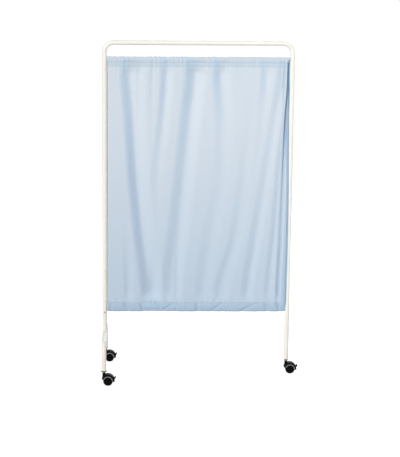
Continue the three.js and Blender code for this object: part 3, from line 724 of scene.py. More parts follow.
def cloth_finish():
    """Woven poly-cotton: crossed threads, slubs and fine creases, with painted shade on its hems, along its
    seams, in its folds and towards the bottom
    """
    material, tree, shader = new_material(
        "blue woven cloth", sheen_weight=0.12, sheen_roughness=0.6, specular_ior_level=0.25)
    uv = add_node(tree, "ShaderNodeUVMap", uv_map="cloth").outputs["UV"]
    threads = []
    for axis in ("X", "Y"):
        turns = math_node(tree, "MULTIPLY", along_axis(tree, uv, axis), 2 * math.pi / THREAD_PITCH)
        threads.append(math_node(tree, "SINE", turns))
    weave = math_node(tree, "MULTIPLY", *threads)
    slubs_down = stretched_noise(tree, uv, (SLUB_FINE, SLUB_LONG, 1.0))
    slubs_over = stretched_noise(tree, uv, (SLUB_LONG, SLUB_FINE, 1.0))
    slubs = math_node(tree, "ADD", slubs_down, slubs_over)
    soft = remap(tree, noise(tree, uv, SOFT_SCALE, detail=3.0), SOFT_SPREAD, 0.0, SOFT_SHARE)
    height = along_axis(tree, object_place(tree), "Z")
    # Painted shade: the cloth darkens towards the bottom, where less light falls
    low = remap(tree, height, (CLOTH_SHADE_FULL_BELOW, CLOTH_SHADE_NONE_ABOVE), 1.0, 0.0)
    color = mix_colors(tree, remap(tree, slubs, SLUB_SPREAD), CLOTH_COLOR, CLOTH_SLUB_COLOR)
    color = mix_colors(tree, soft, color, CLOTH_SOFT_COLOR)
    # Painted shade: the folds' dark flanks turn bluer, the more steeply they fall back
    color = mix_colors(tree, cloth_mark(tree, "flank", 1.0), color, CLOTH_FLANK_SHADE_COLOR)
    color = mix_colors(tree, low, color, CLOTH_LOW_SHADE_COLOR)
    for mark, (amount, dark) in CLOTH_SHADE_MARKS.items():
        color = mix_colors(tree, cloth_mark(tree, mark, amount), color, dark)
    rough = remap(tree, weave, (-1.0, 1.0), *WEAVE_ROUGHNESS)
    creases = stretched_noise(tree, uv, CREASE_SCALES, detail=4.0)
    creased = bumped(tree, creases, CREASE_BUMP, CREASE_STRENGTH)
    relief = math_node(tree, "ADD", math_node(tree, "MULTIPLY", weave, WEAVE_SHARE), slubs)
    connect(tree, shader, color, rough, bumped(tree, relief, THREAD_BUMP, Normal=creased))
    return material


finishes = {
    # The cream paint turns darker towards the bottom, and its dust colour also stands for painted shade
    # along its outline
    "cream_paint": solid_finish(
        "cream powder coat", rgb(0.897, 0.879, 0.837), rgb(0.872, 0.854, 0.812), rgb(0.66, 0.625, 0.55),
        0.34, grain=900.0, depth=COARSE_GRAIN_DEPTH, dust_height=PAINT_DARKENING_HEIGHT, dust_amount=0.48,
        edge_shade_amount=0.55, specular_ior_level=0.3, coat_weight=0.12, coat_roughness=0.25),
    "zinc_steel": solid_finish(
        "bright zinc plate", rgb(0.60, 0.61, 0.62), rgb(0.50, 0.51, 0.53), rgb(0.35, 0.33, 0.30),
        0.36, metallic=1.0, dust_amount=0.2),
    "dark_steel": solid_finish(
        "dull zinc plate", rgb(0.17, 0.165, 0.15), rgb(0.12, 0.115, 0.105), rgb(0.20, 0.185, 0.16),
        0.48, metallic=0.6, dust_amount=0.5),
    "black_plastic": solid_finish(
        "moulded black nylon", rgb(0.0022, 0.0022, 0.0025), rgb(0.0042, 0.0042, 0.0045),
        rgb(0.04, 0.038, 0.036), 0.45, grain=2600.0, depth=COARSE_GRAIN_DEPTH,
        dust_height=CASTER_DUST_HEIGHT, dust_amount=0.02, specular_ior_level=0.03),
    "black_tyre": solid_finish(
        "black solid tread", rgb(0.0022, 0.0022, 0.0022), rgb(0.005, 0.005, 0.005), rgb(0.05, 0.048, 0.045),
        0.7, grain=1800.0, depth=TREAD_GRAIN_DEPTH, dust_height=TREAD_DUST_HEIGHT, dust_amount=0.06,
        specular_ior_level=0.02),
    "white_plastic": solid_finish(
        "white nylon", rgb(0.80, 0.79, 0.75), rgb(0.75, 0.74, 0.70), rgb(0.5, 0.48, 0.44), 0.42),
    "blue_cloth": cloth_finish(),
}
blue_thread = solid_finish(
    "blue thread", rgb(0.38, 0.48, 0.59), rgb(0.44, 0.54, 0.64), rgb(0.5, 0.52, 0.54), 0.7,
    grain=3000.0, sheen_weight=0.2)
# Light grey that paints the highlight along each caster hood's lip
painted_lip_highlight = solid_finish(
    "painted lip highlight", rgb(0.22, 0.22, 0.22), rgb(0.17, 0.17, 0.17), rgb(0.25, 0.24, 0.23), 0.4,
    dust_height=CASTER_DUST_HEIGHT, dust_amount=0.1)
rusty_screw = solid_finish(
    "browned screw", rgb(0.36, 0.27, 0.16), rgb(0.24, 0.16, 0.09), rgb(0.3, 0.26, 0.2), 0.5, metallic=0.4)


def dress(piece, body, slot, *nodes, finish=None):
    """Give a piece its finish and its body, and let it stand for its CAD nodes"""
    piece.data.materials.clear()
    piece.data.materials.append(finish or finishes[slot])
    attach(piece, body)
    if nodes:
        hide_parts(*nodes)
    return piece


# Frame

def bent_stations(corners):
    """Points and directions along a line with a round bend at each inner corner"""
    first, last = corners[0], corners[-1]
    stations = [(first, (corners[1] - first).normalized())]
    for before, corner, after in zip(corners, corners[1:], corners[2:]):
        arriving = (corner - before).normalized()
        leaving = (after - corner).normalized()
        centre = corner - arriving * BEND_RADIUS + leaving * BEND_RADIUS
        for k in range(BEND_STEPS + 1):
            angle = math.pi / 2 * k / BEND_STEPS
            level, rise = math.cos(angle), math.sin(angle)
            point = centre - leaving * BEND_RADIUS * level + arriving * BEND_RADIUS * rise
            stations.append((point, arriving * level + leaving * rise))
    stations.append((last, (last - corners[-2]).normalized()))
    return with_straight_steps(stations)


def with_straight_steps(stations):
    """The stations with more of them along the straights, which keeps the faces short"""
    result = [stations[0]]
    for (start, _), (end, direction) in zip(stations, stations[1:]):
        count = max(1, round((end - start).length / STRAIGHT_STEP))
        for k in range(1, count):
            result.append((start.lerp(end, k / count), direction))
        result.append((end, direction))
    return result


def tube_ring(station, side, radius):
    """The points round a tube at a station"""
    centre, direction = station
    across = direction.cross(side)
    return [centre + side * a + across * b for a, b in circle(radius, TUBE_SIDES)]


def walled_tube(name, corners, side):
    """The frame's tube along a bent line, in a plane that a direction stands upright on"""
    stations = bent_stations([Vector(corner) for corner in corners])
    outside = [tube_ring(station, side, tube_radius) for station in stations]
    inside = [tube_ring(station, side, tube_radius - TUBE_WALL) for station in reversed(stations)]
    return skin(name, outside + inside, round_trip=True)


def crown_seat(point):
    """Height of the hoop's crown, with its gap, under a point of the left post"""
    radius = tube_radius + SEAT_GAP
    return hoop_axis + math.sqrt(max(0.0, radius ** 2 - (point.x - left_post) ** 2))


def hole_cutter(radius, start, end, matrix):
    """A cylinder along Z between two heights, put in place by a matrix"""
    cutter = turned("cutter", [(0, start), (radius, start), (radius, end), (0, end)])
    return moved(cutter, matrix)


def bush_places():
    """The place of each rod bush: on its post's axis, turned towards the other post"""
    places = {}
    for level, rod_z in (("top", top_rod_z), ("bottom", bottom_rod_z)):
        for name, post, side in (("left", left_post, 1), ("right", right_post, -1)):
            turn = Matrix.Rotation(side * math.pi / 2, 4, "Y")
            places[f"{level}_{name}_rod_bush"] = Matrix.Translation((post, 0, rod_z)) @ turn
    return places


def make_frame_tube():
    """Both posts and the top bar in one, the left post's end cut to sit on the hoop's crown"""
    bar = frame_top - tube_radius
    path = [(left_post, hoop_axis), (left_post, bar), (right_post, bar), (right_post, tube_end)]
    tube = walled_tube("bent_frame_tube", [(x, 0, z) for x, z in path], Vector((0, 1, 0)))
    for vertex in tube.data.vertices:
        if vertex.co.x < left_line + WELD and vertex.co.z < crown_seat(vertex.co):
            vertex.co.z = crown_seat(vertex.co)
    holes = []
    for place in bush_places().values():
        holes.append(hole_cutter(BUSH_SLEEVE_RADIUS + SEAT_GAP, 0, 2 * tube_radius, place))
    combined(tube, holes, "DIFFERENCE")
    return dress(tube, "frame", "cream_paint", "frame_tube")


def make_foot_hoop():
    """The inverted U that stands on two casters and carries the left post"""
    front, back = hoop_low.y + tube_radius, hoop_high.y - tube_radius
    path = [(front, tube_end), (front, hoop_axis), (back, hoop_axis), (back, tube_end)]
    hoop = walled_tube("bent_foot_hoop", [(left_post, y, z) for y, z in path], Vector((1, 0, 0)))
    return dress(hoop, "frame", "cream_paint", "foot_hoop")


def make_rod(name):
    """A tubular rod with rounded ends"""
    low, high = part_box(name)
    bore = ROD_RADIUS - ROD_WALL
    profile = [(bore, low.x), (ROD_RADIUS, low.x), (ROD_RADIUS, high.x), (bore, high.x)]
    rod = turned(f"round_{name}", rounded(profile, EDGE_ROUND), ROD_SIDES)
    moved(rod, Matrix.Translation((0, 0, middle(name)[2])) @ about_x)
    return dress(rod, "frame", "zinc_steel", name)


def make_bush(name, place):
    """A flanged bush whose back follows the post's round face"""
    inner = tube_radius - BUSH_SLEEVE_LENGTH
    face = tube_radius + BUSH_FACE
    back = tube_radius + SEAT_GAP
    profile = [(BUSH_BORE, face), (BUSH_FLANGE_RADIUS, face), (BUSH_FLANGE_RADIUS, back),
               (BUSH_SLEEVE_RADIUS, back), (BUSH_SLEEVE_RADIUS, inner), (BUSH_BORE, inner)]
    bush = turned(f"moulded_{name}", rounded(profile, EDGE_ROUND))
    for vertex in bush.data.vertices:
        radius = math.hypot(vertex.co.x, vertex.co.y)
        if radius > BUSH_SLEEVE_RADIUS - EDGE_ROUND and abs(vertex.co.z - back) < 2 * EDGE_ROUND:
            vertex.co.z -= back - math.sqrt(back ** 2 - vertex.co.y ** 2)
    return dress(moved(bush, place), "frame", "white_plastic", name)


def make_spigot_screw():
    """A pan-head screw with a cross recess"""
    low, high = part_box("spigot_screw")
    radius = (high.z - low.z) / 2
    seat = -(tube_radius + SEAT_GAP) - low.y
    length = high.y - low.y
    profile = [
        (0, 0), (SCREW_FACE_SHARE * radius, 0), (radius, SCREW_DOME_SHARE * radius), (radius, seat),
        (SCREW_SHANK_RADIUS, seat), (SCREW_SHANK_RADIUS, length), (0, length),
    ]
    profile = rounded(profile, SCREW_ROUND, FINE_CORNER_STEPS, closed=False)
    screw = turned("pan_head_screw", profile, SCREW_SIDES)
    centre = Matrix.Translation((left_post, low.y, middle("spigot_screw")[2]))
    moved(screw, centre @ about_y)
    a, b = CROSS_HALF_LENGTH, CROSS_HALF_WIDTH
    outline = rounded([(-a, -b), (a, -b), (a, b), (-a, b)], CROSS_ROUND)
    slots = []
    for angle in (CROSS_TURN, CROSS_TURN + 90):
        slot = plate("cutter", outline, CROSS_DEPTH)
        slots.append(moved(slot, centre @ Matrix.Rotation(math.radians(angle), 4, "Y")))
    combined(screw, slots, "DIFFERENCE")
    return dress(screw, "frame", "dark_steel", "spigot_screw", finish=rusty_screw)


# Curtain

def smooth_through(levels, values, at):
    """A smooth curve through values at rising levels, level beyond both ends"""
    levels = np.asarray(levels)
    values = np.asarray(values)
    slopes = np.gradient(values, levels)
    slopes[0] = slopes[-1] = 0
    i = np.clip(np.searchsorted(levels, at) - 1, 0, len(levels) - 2)
    step = levels[i + 1] - levels[i]
    t = np.clip((at - levels[i]) / step, 0, 1)
    start = (1 + 2 * t) * (1 - t) ** 2 * values[i] + t * (1 - t) ** 2 * step * slopes[i]
    end = t * t * (3 - 2 * t) * values[i + 1] + t * t * (t - 1) * step * slopes[i + 1]
    return start + end


def at_level(values, share):
    """A value between those that are given at the folds' levels"""
    return smooth_through(FOLD_LEVEL_SHARES, values, share)


def smoothstep(value, low, high):
    """From 0 to 1 while a value goes from low to high, level at both ends"""
    t = np.clip((value - low) / (high - low), 0, 1)
    return t * t * (3 - 2 * t)


def wandering_waves(phase, count, wanders):
    """Waves from 0 to 1 whose spacing wanders"""
    shifted = count * phase
    for reach, half_waves, start in wanders:
        shifted = shifted + reach * np.sin(half_waves * phase + start)
    return np.abs(np.sin(shifted))


def gathers(across, counts=TOP_GATHER_COUNTS):
    """Uneven puckers with narrow creases between them, from -0.5 to 0.5"""
    phase = math.pi * across
    coarse = wandering_waves(phase, counts[0], COARSE_WANDERS)
    fine = wandering_waves(phase, counts[1], FINE_WANDERS)
    return COARSE_GATHER_SHARE * coarse + (1 - COARSE_GATHER_SHARE) * fine - 0.5


def hem_creases(across, fall):
    """How deep the bottom hem is creased at a distance below its stitch line, from 0 to 1"""
    deepest = np.zeros_like(across)
    for start, end in HEM_CREASE_SHARES:
        place = start + (end - start) * fall / BOTTOM_HEM
        deepest = np.maximum(deepest, 1 - np.abs(across - place) / HEM_CREASE_HALF_SHARE)
    return deepest


def fold_depths(across, share):
    """How far back the folds take the cloth, before its strength is applied"""
    total = np.zeros_like(across)
    for places, depths, dark, lit in FOLDS:
        away = (across - at_level(places, share)) * cloth_width
        back = smoothstep(away, -dark / 2, dark / 2)
        total += at_level(depths, share) * (back - smoothstep(away, dark / 2, dark / 2 + lit))
    return FOLD_DEPTH * total


def with_seam_rows(heights):
    """The heights, falling, with close rows round each stitch line"""
    for line in stitch_lines:
        heights = [z for z in heights if abs(z - line) > SEAM_CLEAR_SHARE * SEAM_HALF]
        heights += [line + share * SEAM_HALF for share in SEAM_ROW_SHARES]
    return sorted(heights, reverse=True)


def section_rows():
    """The cloth's section as rows of a side and a height, from hem to hem.
    On the two loops the height is the angle round the rod, with the front at 180 degrees."""
    top_part = top_rod_z - top_line
    bottom_part = bottom_line - bottom_rod_z
    rows = [("back", z) for z in np.linspace(hem_line - STITCH_FROM_EDGE, top_line, HEM_ROWS)]
    rows += [("back", top_line + t * top_part) for t in TOP_BACK_ROW_SHARES]
    rows += [("top loop", angle) for angle in np.linspace(0, 180, LOOP_ROWS)]
    falling = [top_line + t * top_part for t in CHANNEL_ROW_SHARES]
    shares = np.linspace(0, 1, FRONT_ROWS)
    shares = shares - FRONT_CROWDING * np.sin(2 * math.pi * shares) / (2 * math.pi)
    falling += list(top_line - (top_line - bottom_line) * shares)
    falling += [bottom_line - t * bottom_part for t in CHANNEL_ROW_SHARES]
    rows += [("front", z) for z in with_seam_rows(falling)]
    rows += [("bottom loop", angle) for angle in np.linspace(180, 360, LOOP_ROWS)]
    rows += [("back", bottom_line - t * bottom_part) for t in BOTTOM_BACK_ROW_SHARES]
    rows.append(("back", bottom_line + STITCH_FROM_EDGE))
    return rows


def channel_half(z):
    """Half the distance between the two layers at a height beside a rod"""
    if z > top_line:
        t = (z - top_line) / (top_rod_z - top_line)
    elif z < bottom_line:
        t = (bottom_line - z) / (bottom_line - bottom_rod_z)
    else:
        return LAYER_GAP / 2
    t = min(1.0, t)
    return LAYER_GAP / 2 + (CHANNEL_RADIUS - LAYER_GAP / 2) * math.sin(t * math.pi / 2)


def strength(z):
    """How far the folds have opened at a height"""
    if z > top_line:
        return PINCH_SHARE * max(0.0, (top_rod_z - z) / (top_rod_z - top_line))
    if z < bottom_line:
        return PINCH_SHARE * max(0.0, (z - bottom_rod_z) / (bottom_line - bottom_rod_z))
    from_stitches = min(top_line - z, z - bottom_line)
    return PINCH_SHARE + (1 - PINCH_SHARE) * float(smoothstep(from_stitches, 0, OPEN_REACH))


def right_base(from_right, overlap_share):
    """How far in front of the posts the cloth stands near its right edge"""
    bulge = FOLD_FRONT + (OVERLAP_BULGE - FOLD_FRONT) * overlap_share
    edge_y = EDGE_BACK + (OVERLAP_FRONT - EDGE_BACK) * overlap_share
    base = bulge + (FOLD_FRONT - bulge) * smoothstep(from_right, RIGHT_EDGE_TURN, OVERLAP_REACH)
    return base + (edge_y - bulge) * (1 - smoothstep(from_right, 0, RIGHT_EDGE_TURN))


def right_fold(share, opened, hanging):
    """The plan of the deep fold beside the right post: X, and Y back from the panel"""
    fold_x = right_line - at_level(RIGHT_FOLD_FROM_POST, share)
    sharp = at_level(RIGHT_FOLD_SHARES, share) * hanging
    outline = np.array(RIGHT_FOLD_OUTLINE_SHARES)
    marks = np.arange(len(outline))
    station = np.linspace(0, marks[-1], FOLD_COLUMNS)
    t = station / marks[-1]
    sharp_x = RIGHT_FOLD_TIP * smooth_through(marks, outline[:, 0], station)
    sharp_y = RIGHT_FOLD_DEPTH * smooth_through(marks, outline[:, 1], station)
    soft_x = RIGHT_FOLD_SOFT_WIDTH * t
    fallen = smoothstep(t, 0, RIGHT_FOLD_SOFT_SHARE) - smoothstep(t, RIGHT_FOLD_SOFT_SHARE, 1)
    soft_y = RIGHT_FOLD_SOFT_DEPTH * opened * fallen
    blend = min(1.0, 2 * sharp)
    return fold_x + soft_x + (sharp_x - soft_x) * blend, sharp_y * sharp + soft_y * (1 - blend)


def plan_columns(share, opened, hanging, right_edge):
    """The X of each column at a height, and how far back the fold beside the right post takes it"""
    wall_x, wall_y = right_fold(share, opened, hanging)
    turn_x = np.linspace(left_line, left_line + EDGE_TURN, EDGE_COLUMNS, endpoint=False)
    panel_x = np.linspace(left_line + EDGE_TURN, wall_x[0], PANEL_COLUMNS, endpoint=False)
    t = np.arange(1, STRIP_COLUMNS + 1) / STRIP_COLUMNS
    strip_x = wall_x[-1] + (right_edge - wall_x[-1]) * t
    strip_y = wall_y[-1] * (1 - (1 - STRIP_KEEP_SHARE) * smoothstep(t, 0, 1))
    x = np.concatenate((turn_x, panel_x, wall_x, strip_x))
    return x, np.concatenate((np.zeros(EDGE_COLUMNS + PANEL_COLUMNS), wall_y, strip_y))


def plan_curve(z):
    """Where the middle of the cloth runs at a height, seen from above: X and Y of each column"""
    share = (z - cloth_low.z) / cloth_height
    opened = strength(z)
    hanging = min(1.0, opened / PINCH_SHARE)
    overlap_share = at_level(OVERLAP_SHARES, share) * hanging
    right_edge = right_line + OVERLAP * overlap_share
    x, deep = plan_columns(share, opened, hanging, right_edge)
    across = (x - cloth_low.x) / cloth_width
    from_left = np.maximum(x - left_line, 0)
    from_right = np.maximum(right_edge - x, 0)
    edge = 1 - smoothstep(np.minimum(from_left, from_right), 0, EDGE_TURN)
    away = smoothstep(np.minimum(from_left, from_right), 0, OVERLAP_REACH)
    folds = fold_depths(np.minimum(across, 1.0), share) * away
    swell = SWELL_DEPTH * np.sin(2 * math.pi * (SWELL_WAVES * across + SWELL_SLANT * share)) * opened
    left_base = FOLD_FRONT + (EDGE_BACK - FOLD_FRONT) * edge
    front = np.where(across < 0.5, left_base, right_base(from_right, overlap_share)) * hanging
    line_away = min(abs(z - line) for line in stitch_lines)
    seam = SEAM_DEPTH * max(0.0, 1 - line_away / SEAM_HALF)
    if hem_line < z < top_line:
        line_away = 0.0
    pucker = GATHER_DEPTH * max(0.0, 1 - line_away / GATHER_REACH) ** 2 * hanging
    slant = GATHER_SLANT * np.sin(SLANT_HALF_WAVES * math.pi * across) * (z - bottom_line) * (share < 0.5)
    y = front + (folds + swell) * opened + deep + seam - pucker * gathers(across + slant) * (1 - edge)
    fall = bottom_line - z
    if fall > 0:
        free = math.sin(math.pi * min(1.0, fall / (bottom_line - bottom_rod_z)))
        y = y + HEM_CREASE_DEPTH * free * hem_creases(across, fall) * (1 - edge)
    return x, y, across, folds


def keep_off_posts(x, y):
    """Bring the cloth's ends to the posts' round faces where they aren't in front of them"""
    limit = tube_radius + POST_CLEARANCE + CLOTH_THICKNESS / 2
    reach = np.sqrt(np.maximum(limit ** 2 - y ** 2, 0))
    beside = np.abs(y) < limit
    x_low, x_high = x.min(), x.max()
    push_left = max(0.0, left_post + reach[0] - x_low) * beside[0]
    push_right = max(0.0, x_high - (right_post - reach[-1])) * beside[-1]
    x = x + push_left * (1 - smoothstep(x - x_low, 0, EDGE_TURN))
    return x - push_right * (1 - smoothstep(x_high - x, 0, EDGE_TURN))


def channel_puckers(kind, z, angle, across):
    """How far the gathers widen a channel, column by column"""
    if kind == "top loop" or z > top_line:
        return GATHER_DEPTH * (0.5 + gathers(across))
    fall = bottom_line - z
    if kind == "bottom loop":
        fall = bottom_line - (z + CHANNEL_RADIUS * math.sin(angle))
    slanted = across + HEM_SLANT * np.sin(SLANT_HALF_WAVES * math.pi * across) * fall
    fullness = HEM_FULLNESS + HEM_UNEVENNESS * gathers(slanted, HEM_GATHER_COUNTS)
    return HEM_GATHER_DEPTH * fullness * (1 - hem_creases(across, fall))


def cloth_row(kind, value):
    """The points of the cloth's middle along a row, and how steeply a fold takes it back there"""
    looped = kind.endswith("loop")
    z = value
    if looped:
        z = top_rod_z if kind == "top loop" else bottom_rod_z
    x, y, across, folds = plan_curve(z)
    length = np.hypot(np.gradient(x), np.gradient(y))
    normal_x, normal_y = -np.gradient(y) / length, np.gradient(x) / length
    ends = np.minimum(x - x.min(), x.max() - x)
    sleeve = 1 - smoothstep(ends, CHANNEL_END_KEEP_SHARE * CHANNEL_END_LENGTH, CHANNEL_END_LENGTH)
    angle = math.radians(value)
    puckers = channel_puckers(kind, z, angle, across)
    radius = CHANNEL_RADIUS + (CHANNEL_END_RADIUS - CHANNEL_RADIUS) * sleeve + puckers * (1 - sleeve)
    if looped:
        drawn = np.minimum(CHANNEL_DRAW_SHARE * folds * (1 - sleeve), radius - ROD_CLEAR_RADIUS)
        forward = max(0.0, -math.cos(angle))
        sag = HEM_SAG - HEM_SAG_LESS_SHARE * puckers if kind == "bottom loop" else 0.0
        height = z + (radius - CHANNEL_FLATTER_SHARE * drawn + sag) * math.sin(angle)
        offset = (radius - drawn * forward) * math.cos(angle)
    else:
        side = 1 if kind == "back" else -1
        share = channel_half(z) / CHANNEL_RADIUS
        # The gathers widen a channel only where it is open, and not near its stitches
        offset = side * radius * share if share > LAYER_GAP / CHANNEL_RADIUS else side * channel_half(z)
        height = np.full_like(x, z)
    px = x + normal_x * offset
    py = y + normal_y * offset
    # How steeply a fold falls back here, which sets the painted shade on its dark flank
    flank = np.clip(np.gradient(folds) / np.maximum(np.gradient(x), LEAST_COLUMN), 0, 1)
    return np.stack((keep_off_posts(px, py), py, height), axis=1), flank


def surface_normals(points):
    """The direction away from the cloth's inner side at each point of the grid"""
    normals = np.cross(np.gradient(points, axis=0), np.gradient(points, axis=1))
    return normals / np.linalg.norm(normals, axis=2, keepdims=True)


def sheet_piece(name, points):
    """A sheet of the cloth's thickness over a grid of points"""
    count, columns = points.shape[:2]
    faces = []
    for r in range(count - 1):
        for c in range(columns - 1):
            first = r * columns + c
            faces.append((first, first + 1, first + columns + 1, first + columns))
    return new_piece(name, points.reshape(-1, 3), faces)


def thickened(piece):
    """Give a sheet the cloth's thickness, half of it to either side"""
    solid = piece.modifiers.new("thickness", "SOLIDIFY")
    solid.thickness = CLOTH_THICKNESS
    solid.offset = 0
    bake_modifiers(piece)
    piece.data.shade_smooth()
    piece.data.set_sharp_from_angle(angle=math.radians(CLOTH_SHARP_ANGLE))
    return piece


def lengths_along(line):
    """The length of a line up to each of its points"""
    return np.concatenate(([0.0], np.cumsum(np.linalg.norm(np.diff(line, axis=0), axis=1))))


def add_cloth_map(piece, across, down, marks):
    """A map in metres along the cloth, and the marks of its rows and columns for the material"""
    columns = len(across)
    layer = piece.data.uv_layers.new(name="cloth")
    for loop in piece.data.loops:
        r, c = divmod(loop.vertex_index, columns)
        layer.data[loop.index].uv = (across[c], down[r])
    for name, values in marks.items():
        mark = piece.data.attributes.new(name, "FLOAT", "POINT")
        mark.data.foreach_set("value", values.astype(np.float32).ravel())


def nearest_row(section, kind, height):
    """The number of the row on one side that is nearest to a height"""
    rows = [i for i, (side, _) in enumerate(section) if side == kind]
    return min(rows, key=lambda i: abs(section[i][1] - height))


def recess_shade_marks(points, heights):
    """How much painted shade each point gets in the fold beside the right post, from 0 to 1: more the deeper
    it lies, and on the strip beside the post at least that strip's own
    """
    behind = np.clip((points[:, :, 1] - FOLD_FRONT) / RIGHT_FOLD_DEPTH, 0, 1)
    beside = points[:, :, 0] > right_line - RIGHT_FOLD_SOFT_WIDTH
    hanging = (heights < top_line) & (heights > bottom_line)
    marks = behind * beside * hanging[:, None]
    shade = STRIP_PAINTED_SHADE * at_level(STRIP_PAINTED_SHADE_SHARES, (heights - cloth_low.z) / cloth_height) * hanging
    strip = marks[:, -STRIP_COLUMNS:]
    marks[:, -STRIP_COLUMNS:] = np.maximum(strip, shade[:, None])
    return marks


def make_curtain():
    section = section_rows()
    rows = [cloth_row(kind, value) for kind, value in section]
    points = np.array([row for row, _ in rows])
    flank_shades = np.array([flank for _, flank in rows])
    count, columns = points.shape[:2]
    heights = points[:, columns // 2, 2]
    across = lengths_along(points[count // 2])
    down = lengths_along(points[:, columns // 2])
    from_line = np.min([np.abs(heights - line) for line in stitch_lines], axis=0)
    in_hem = (heights > hem_line - WELD) + BOTTOM_HEM_SHADE * (heights < bottom_line + WELD)
    in_side = np.minimum(across, across[-1] - across) < SIDE_HEM
    marks = {
        # painted shade where the cloth lies in two layers
        "doubled_shade": np.maximum(in_hem[:, None], in_side[None, :]),
        # painted shade along the seams
        "seam": np.repeat((1 - np.minimum(from_line / SEAM_HALF, 1))[:, None], columns, axis=1),
        # painted shade in and beside the deep fold by the right post
        "recess": recess_shade_marks(points, heights),
        # bluer painted shade on the folds' dark flanks
        "flank": flank_shades,
    }
    curtain = sheet_piece("gathered_curtain", points)
    add_cloth_map(curtain, across, down, marks)
    dress(thickened(curtain), "frame", "blue_cloth", "curtain")
    stitches = make_stitches(points, section, across)


def new_geometry_tree(name, places, numbers, material, result):
    """A Geometry Nodes tree with its named inputs and its result"""
    tree = bpy.data.node_groups.new(name, "GeometryNodeTree")
    add_sockets(tree, "INPUT", "Geometry", (places,))
    add_sockets(tree, "INPUT", "Float", numbers)
    add_sockets(tree, "INPUT", "Material", (material,))
    add_sockets(tree, "OUTPUT", "Geometry", (result,))
    return tree, tree.nodes.new("NodeGroupInput").outputs


def lay_spheres(tree, sphere, material, **laying):
    """Lay a sphere on each point, make the copies real and give them their material"""
    ball = add_node(tree, "GeometryNodeMeshUVSphere", sphere).outputs["Mesh"]
    laid = add_node(tree, "GeometryNodeInstanceOnPoints", {"Instance": ball, **laying})
    real = add_node(tree, "GeometryNodeRealizeInstances", {"Geometry": laid.outputs["Instances"]})
    inputs = {"Geometry": real.outputs["Geometry"], "Material": material}
    done = add_node(tree, "GeometryNodeSetMaterial", inputs)
    tree.links.new(done.outputs["Geometry"], tree.nodes.new("NodeGroupOutput").inputs[0])


def stitch_tree():
    """Stitches laid end to end along a line, each a short rounded bar"""
    tree, given = new_geometry_tree(
        "row of stitches", "Lines", ("Pitch", "Length", "Thickness"), "Thread", "Stitches")
    curve = add_node(tree, "GeometryNodeMeshToCurve", {"Mesh": given["Lines"]}).outputs["Curve"]
    spacing = {"Curve": curve, "Length": given["Pitch"]}
    steps = add_node(tree, "GeometryNodeResampleCurve", spacing, mode="LENGTH").outputs["Curve"]
    tangent = add_node(tree, "GeometryNodeInputTangent").outputs["Tangent"]
    turn = add_node(tree, "FunctionNodeAlignRotationToVector", {"Vector": tangent}, axis="Z")
    thick, long = given["Thickness"], given["Length"]
    size = add_node(tree, "ShaderNodeCombineXYZ", {0: thick, 1: thick, 2: long}).outputs[0]
    lay_spheres(tree, STITCH_SPHERE, given["Thread"], Points=steps, Rotation=turn.outputs[0], Scale=size)
    return tree


def with_nodes(piece, tree, **values):
    """Run a Geometry Nodes tree on a piece and keep the mesh that it makes"""
    modifier = piece.modifiers.new(tree.name, "NODES")
    modifier.node_group = tree
    for socket in tree.interface.items_tree:
        if socket.in_out == "INPUT" and socket.name.lower() in values:
            modifier[socket.identifier] = values[socket.name.lower()]
    return bake_modifiers(piece)


def make_stitches(points, section, across):
    """Rows of stitches along the hems, on the front and on the back"""
    lift = surface_normals(points) * (CLOTH_THICKNESS / 2)
    outside = points + lift
    inside = points - lift
    inner = slice(EDGE_COLUMNS // 2, -EDGE_COLUMNS // 2)
    lines = []
    for side in ("front", "back"):
        lines += [outside[nearest_row(section, side, line), inner] for line in stitch_lines]
    lines.append(inside[nearest_row(section, "front", hem_line), inner])
    first, last = nearest_row(section, "front", top_line), nearest_row(section, "front", bottom_line)
    for place in (SIDE_HEM - STITCH_FROM_EDGE, across[-1] - SIDE_HEM + STITCH_FROM_EDGE):
        column = int(np.searchsorted(across, place))
        lines.append(outside[first:last, column])
        lines.append(inside[first:last, column])
    edges = []
    start = 0
    for line in lines:
        edges += [(start + k, start + k + 1) for k in range(len(line) - 1)]
        start += len(line)
    stitches = new_piece("hem_stitches", np.concatenate(lines), [], edges)
    with_nodes(stitches, stitch_tree(), pitch=STITCH_PITCH, length=STITCH_LENGTH,
               thickness=STITCH_THICKNESS, thread=blue_thread)
    return dress(stitches, "frame", "blue_cloth", finish=blue_thread)


# Casters

def leg_places():
    """The swivel axis of each leg's caster, as a matrix"""
    places = {}
    for leg in ("front", "rear", "right"):
        x, y, _ = middle(f"{leg}_stem")
        places[leg] = Matrix.Translation((x, y, 0))
    return places


def round_sweep(name, profile, start, end, steps):
    """A closed profile of radius and Y swept round the Y axis between two angles in degrees"""
    rings = []
    for k in range(steps + 1):
        angle = math.radians(start + (end - start) * k / steps)
        rings.append([Vector((r * math.cos(angle), y, r * math.sin(angle))) for r, y in profile])
    return skin(name, rings, capped=True)


def hood_profile():
    """The hood's section in radius and Y, from its near lip over the roof to the far one and back"""
    outside = [(LIP_INNER, HOOD_SIDE_Y), (LIP_OUTER, HOOD_SIDE_Y - LIP_SLOPE), (HOOD_RADIUS, HOOD_FLAT_HALF)]
    inner_side = HOOD_SIDE_Y - HOOD_SIDE_WALL
    inside = [(HOOD_RADIUS - HOOD_WALL, HOOD_FLAT_HALF - HOOD_WALL / 2),
              (LIP_OUTER - HOOD_WALL / 4, inner_side), (LIP_INNER, inner_side)]
    mirror_outside = [(r, -y) for r, y in outside]
    mirror_inside = [(r, -y) for r, y in inside]
    return rounded(mirror_outside + outside[::-1] + inside[::-1] + mirror_inside, HOOD_ROUND)


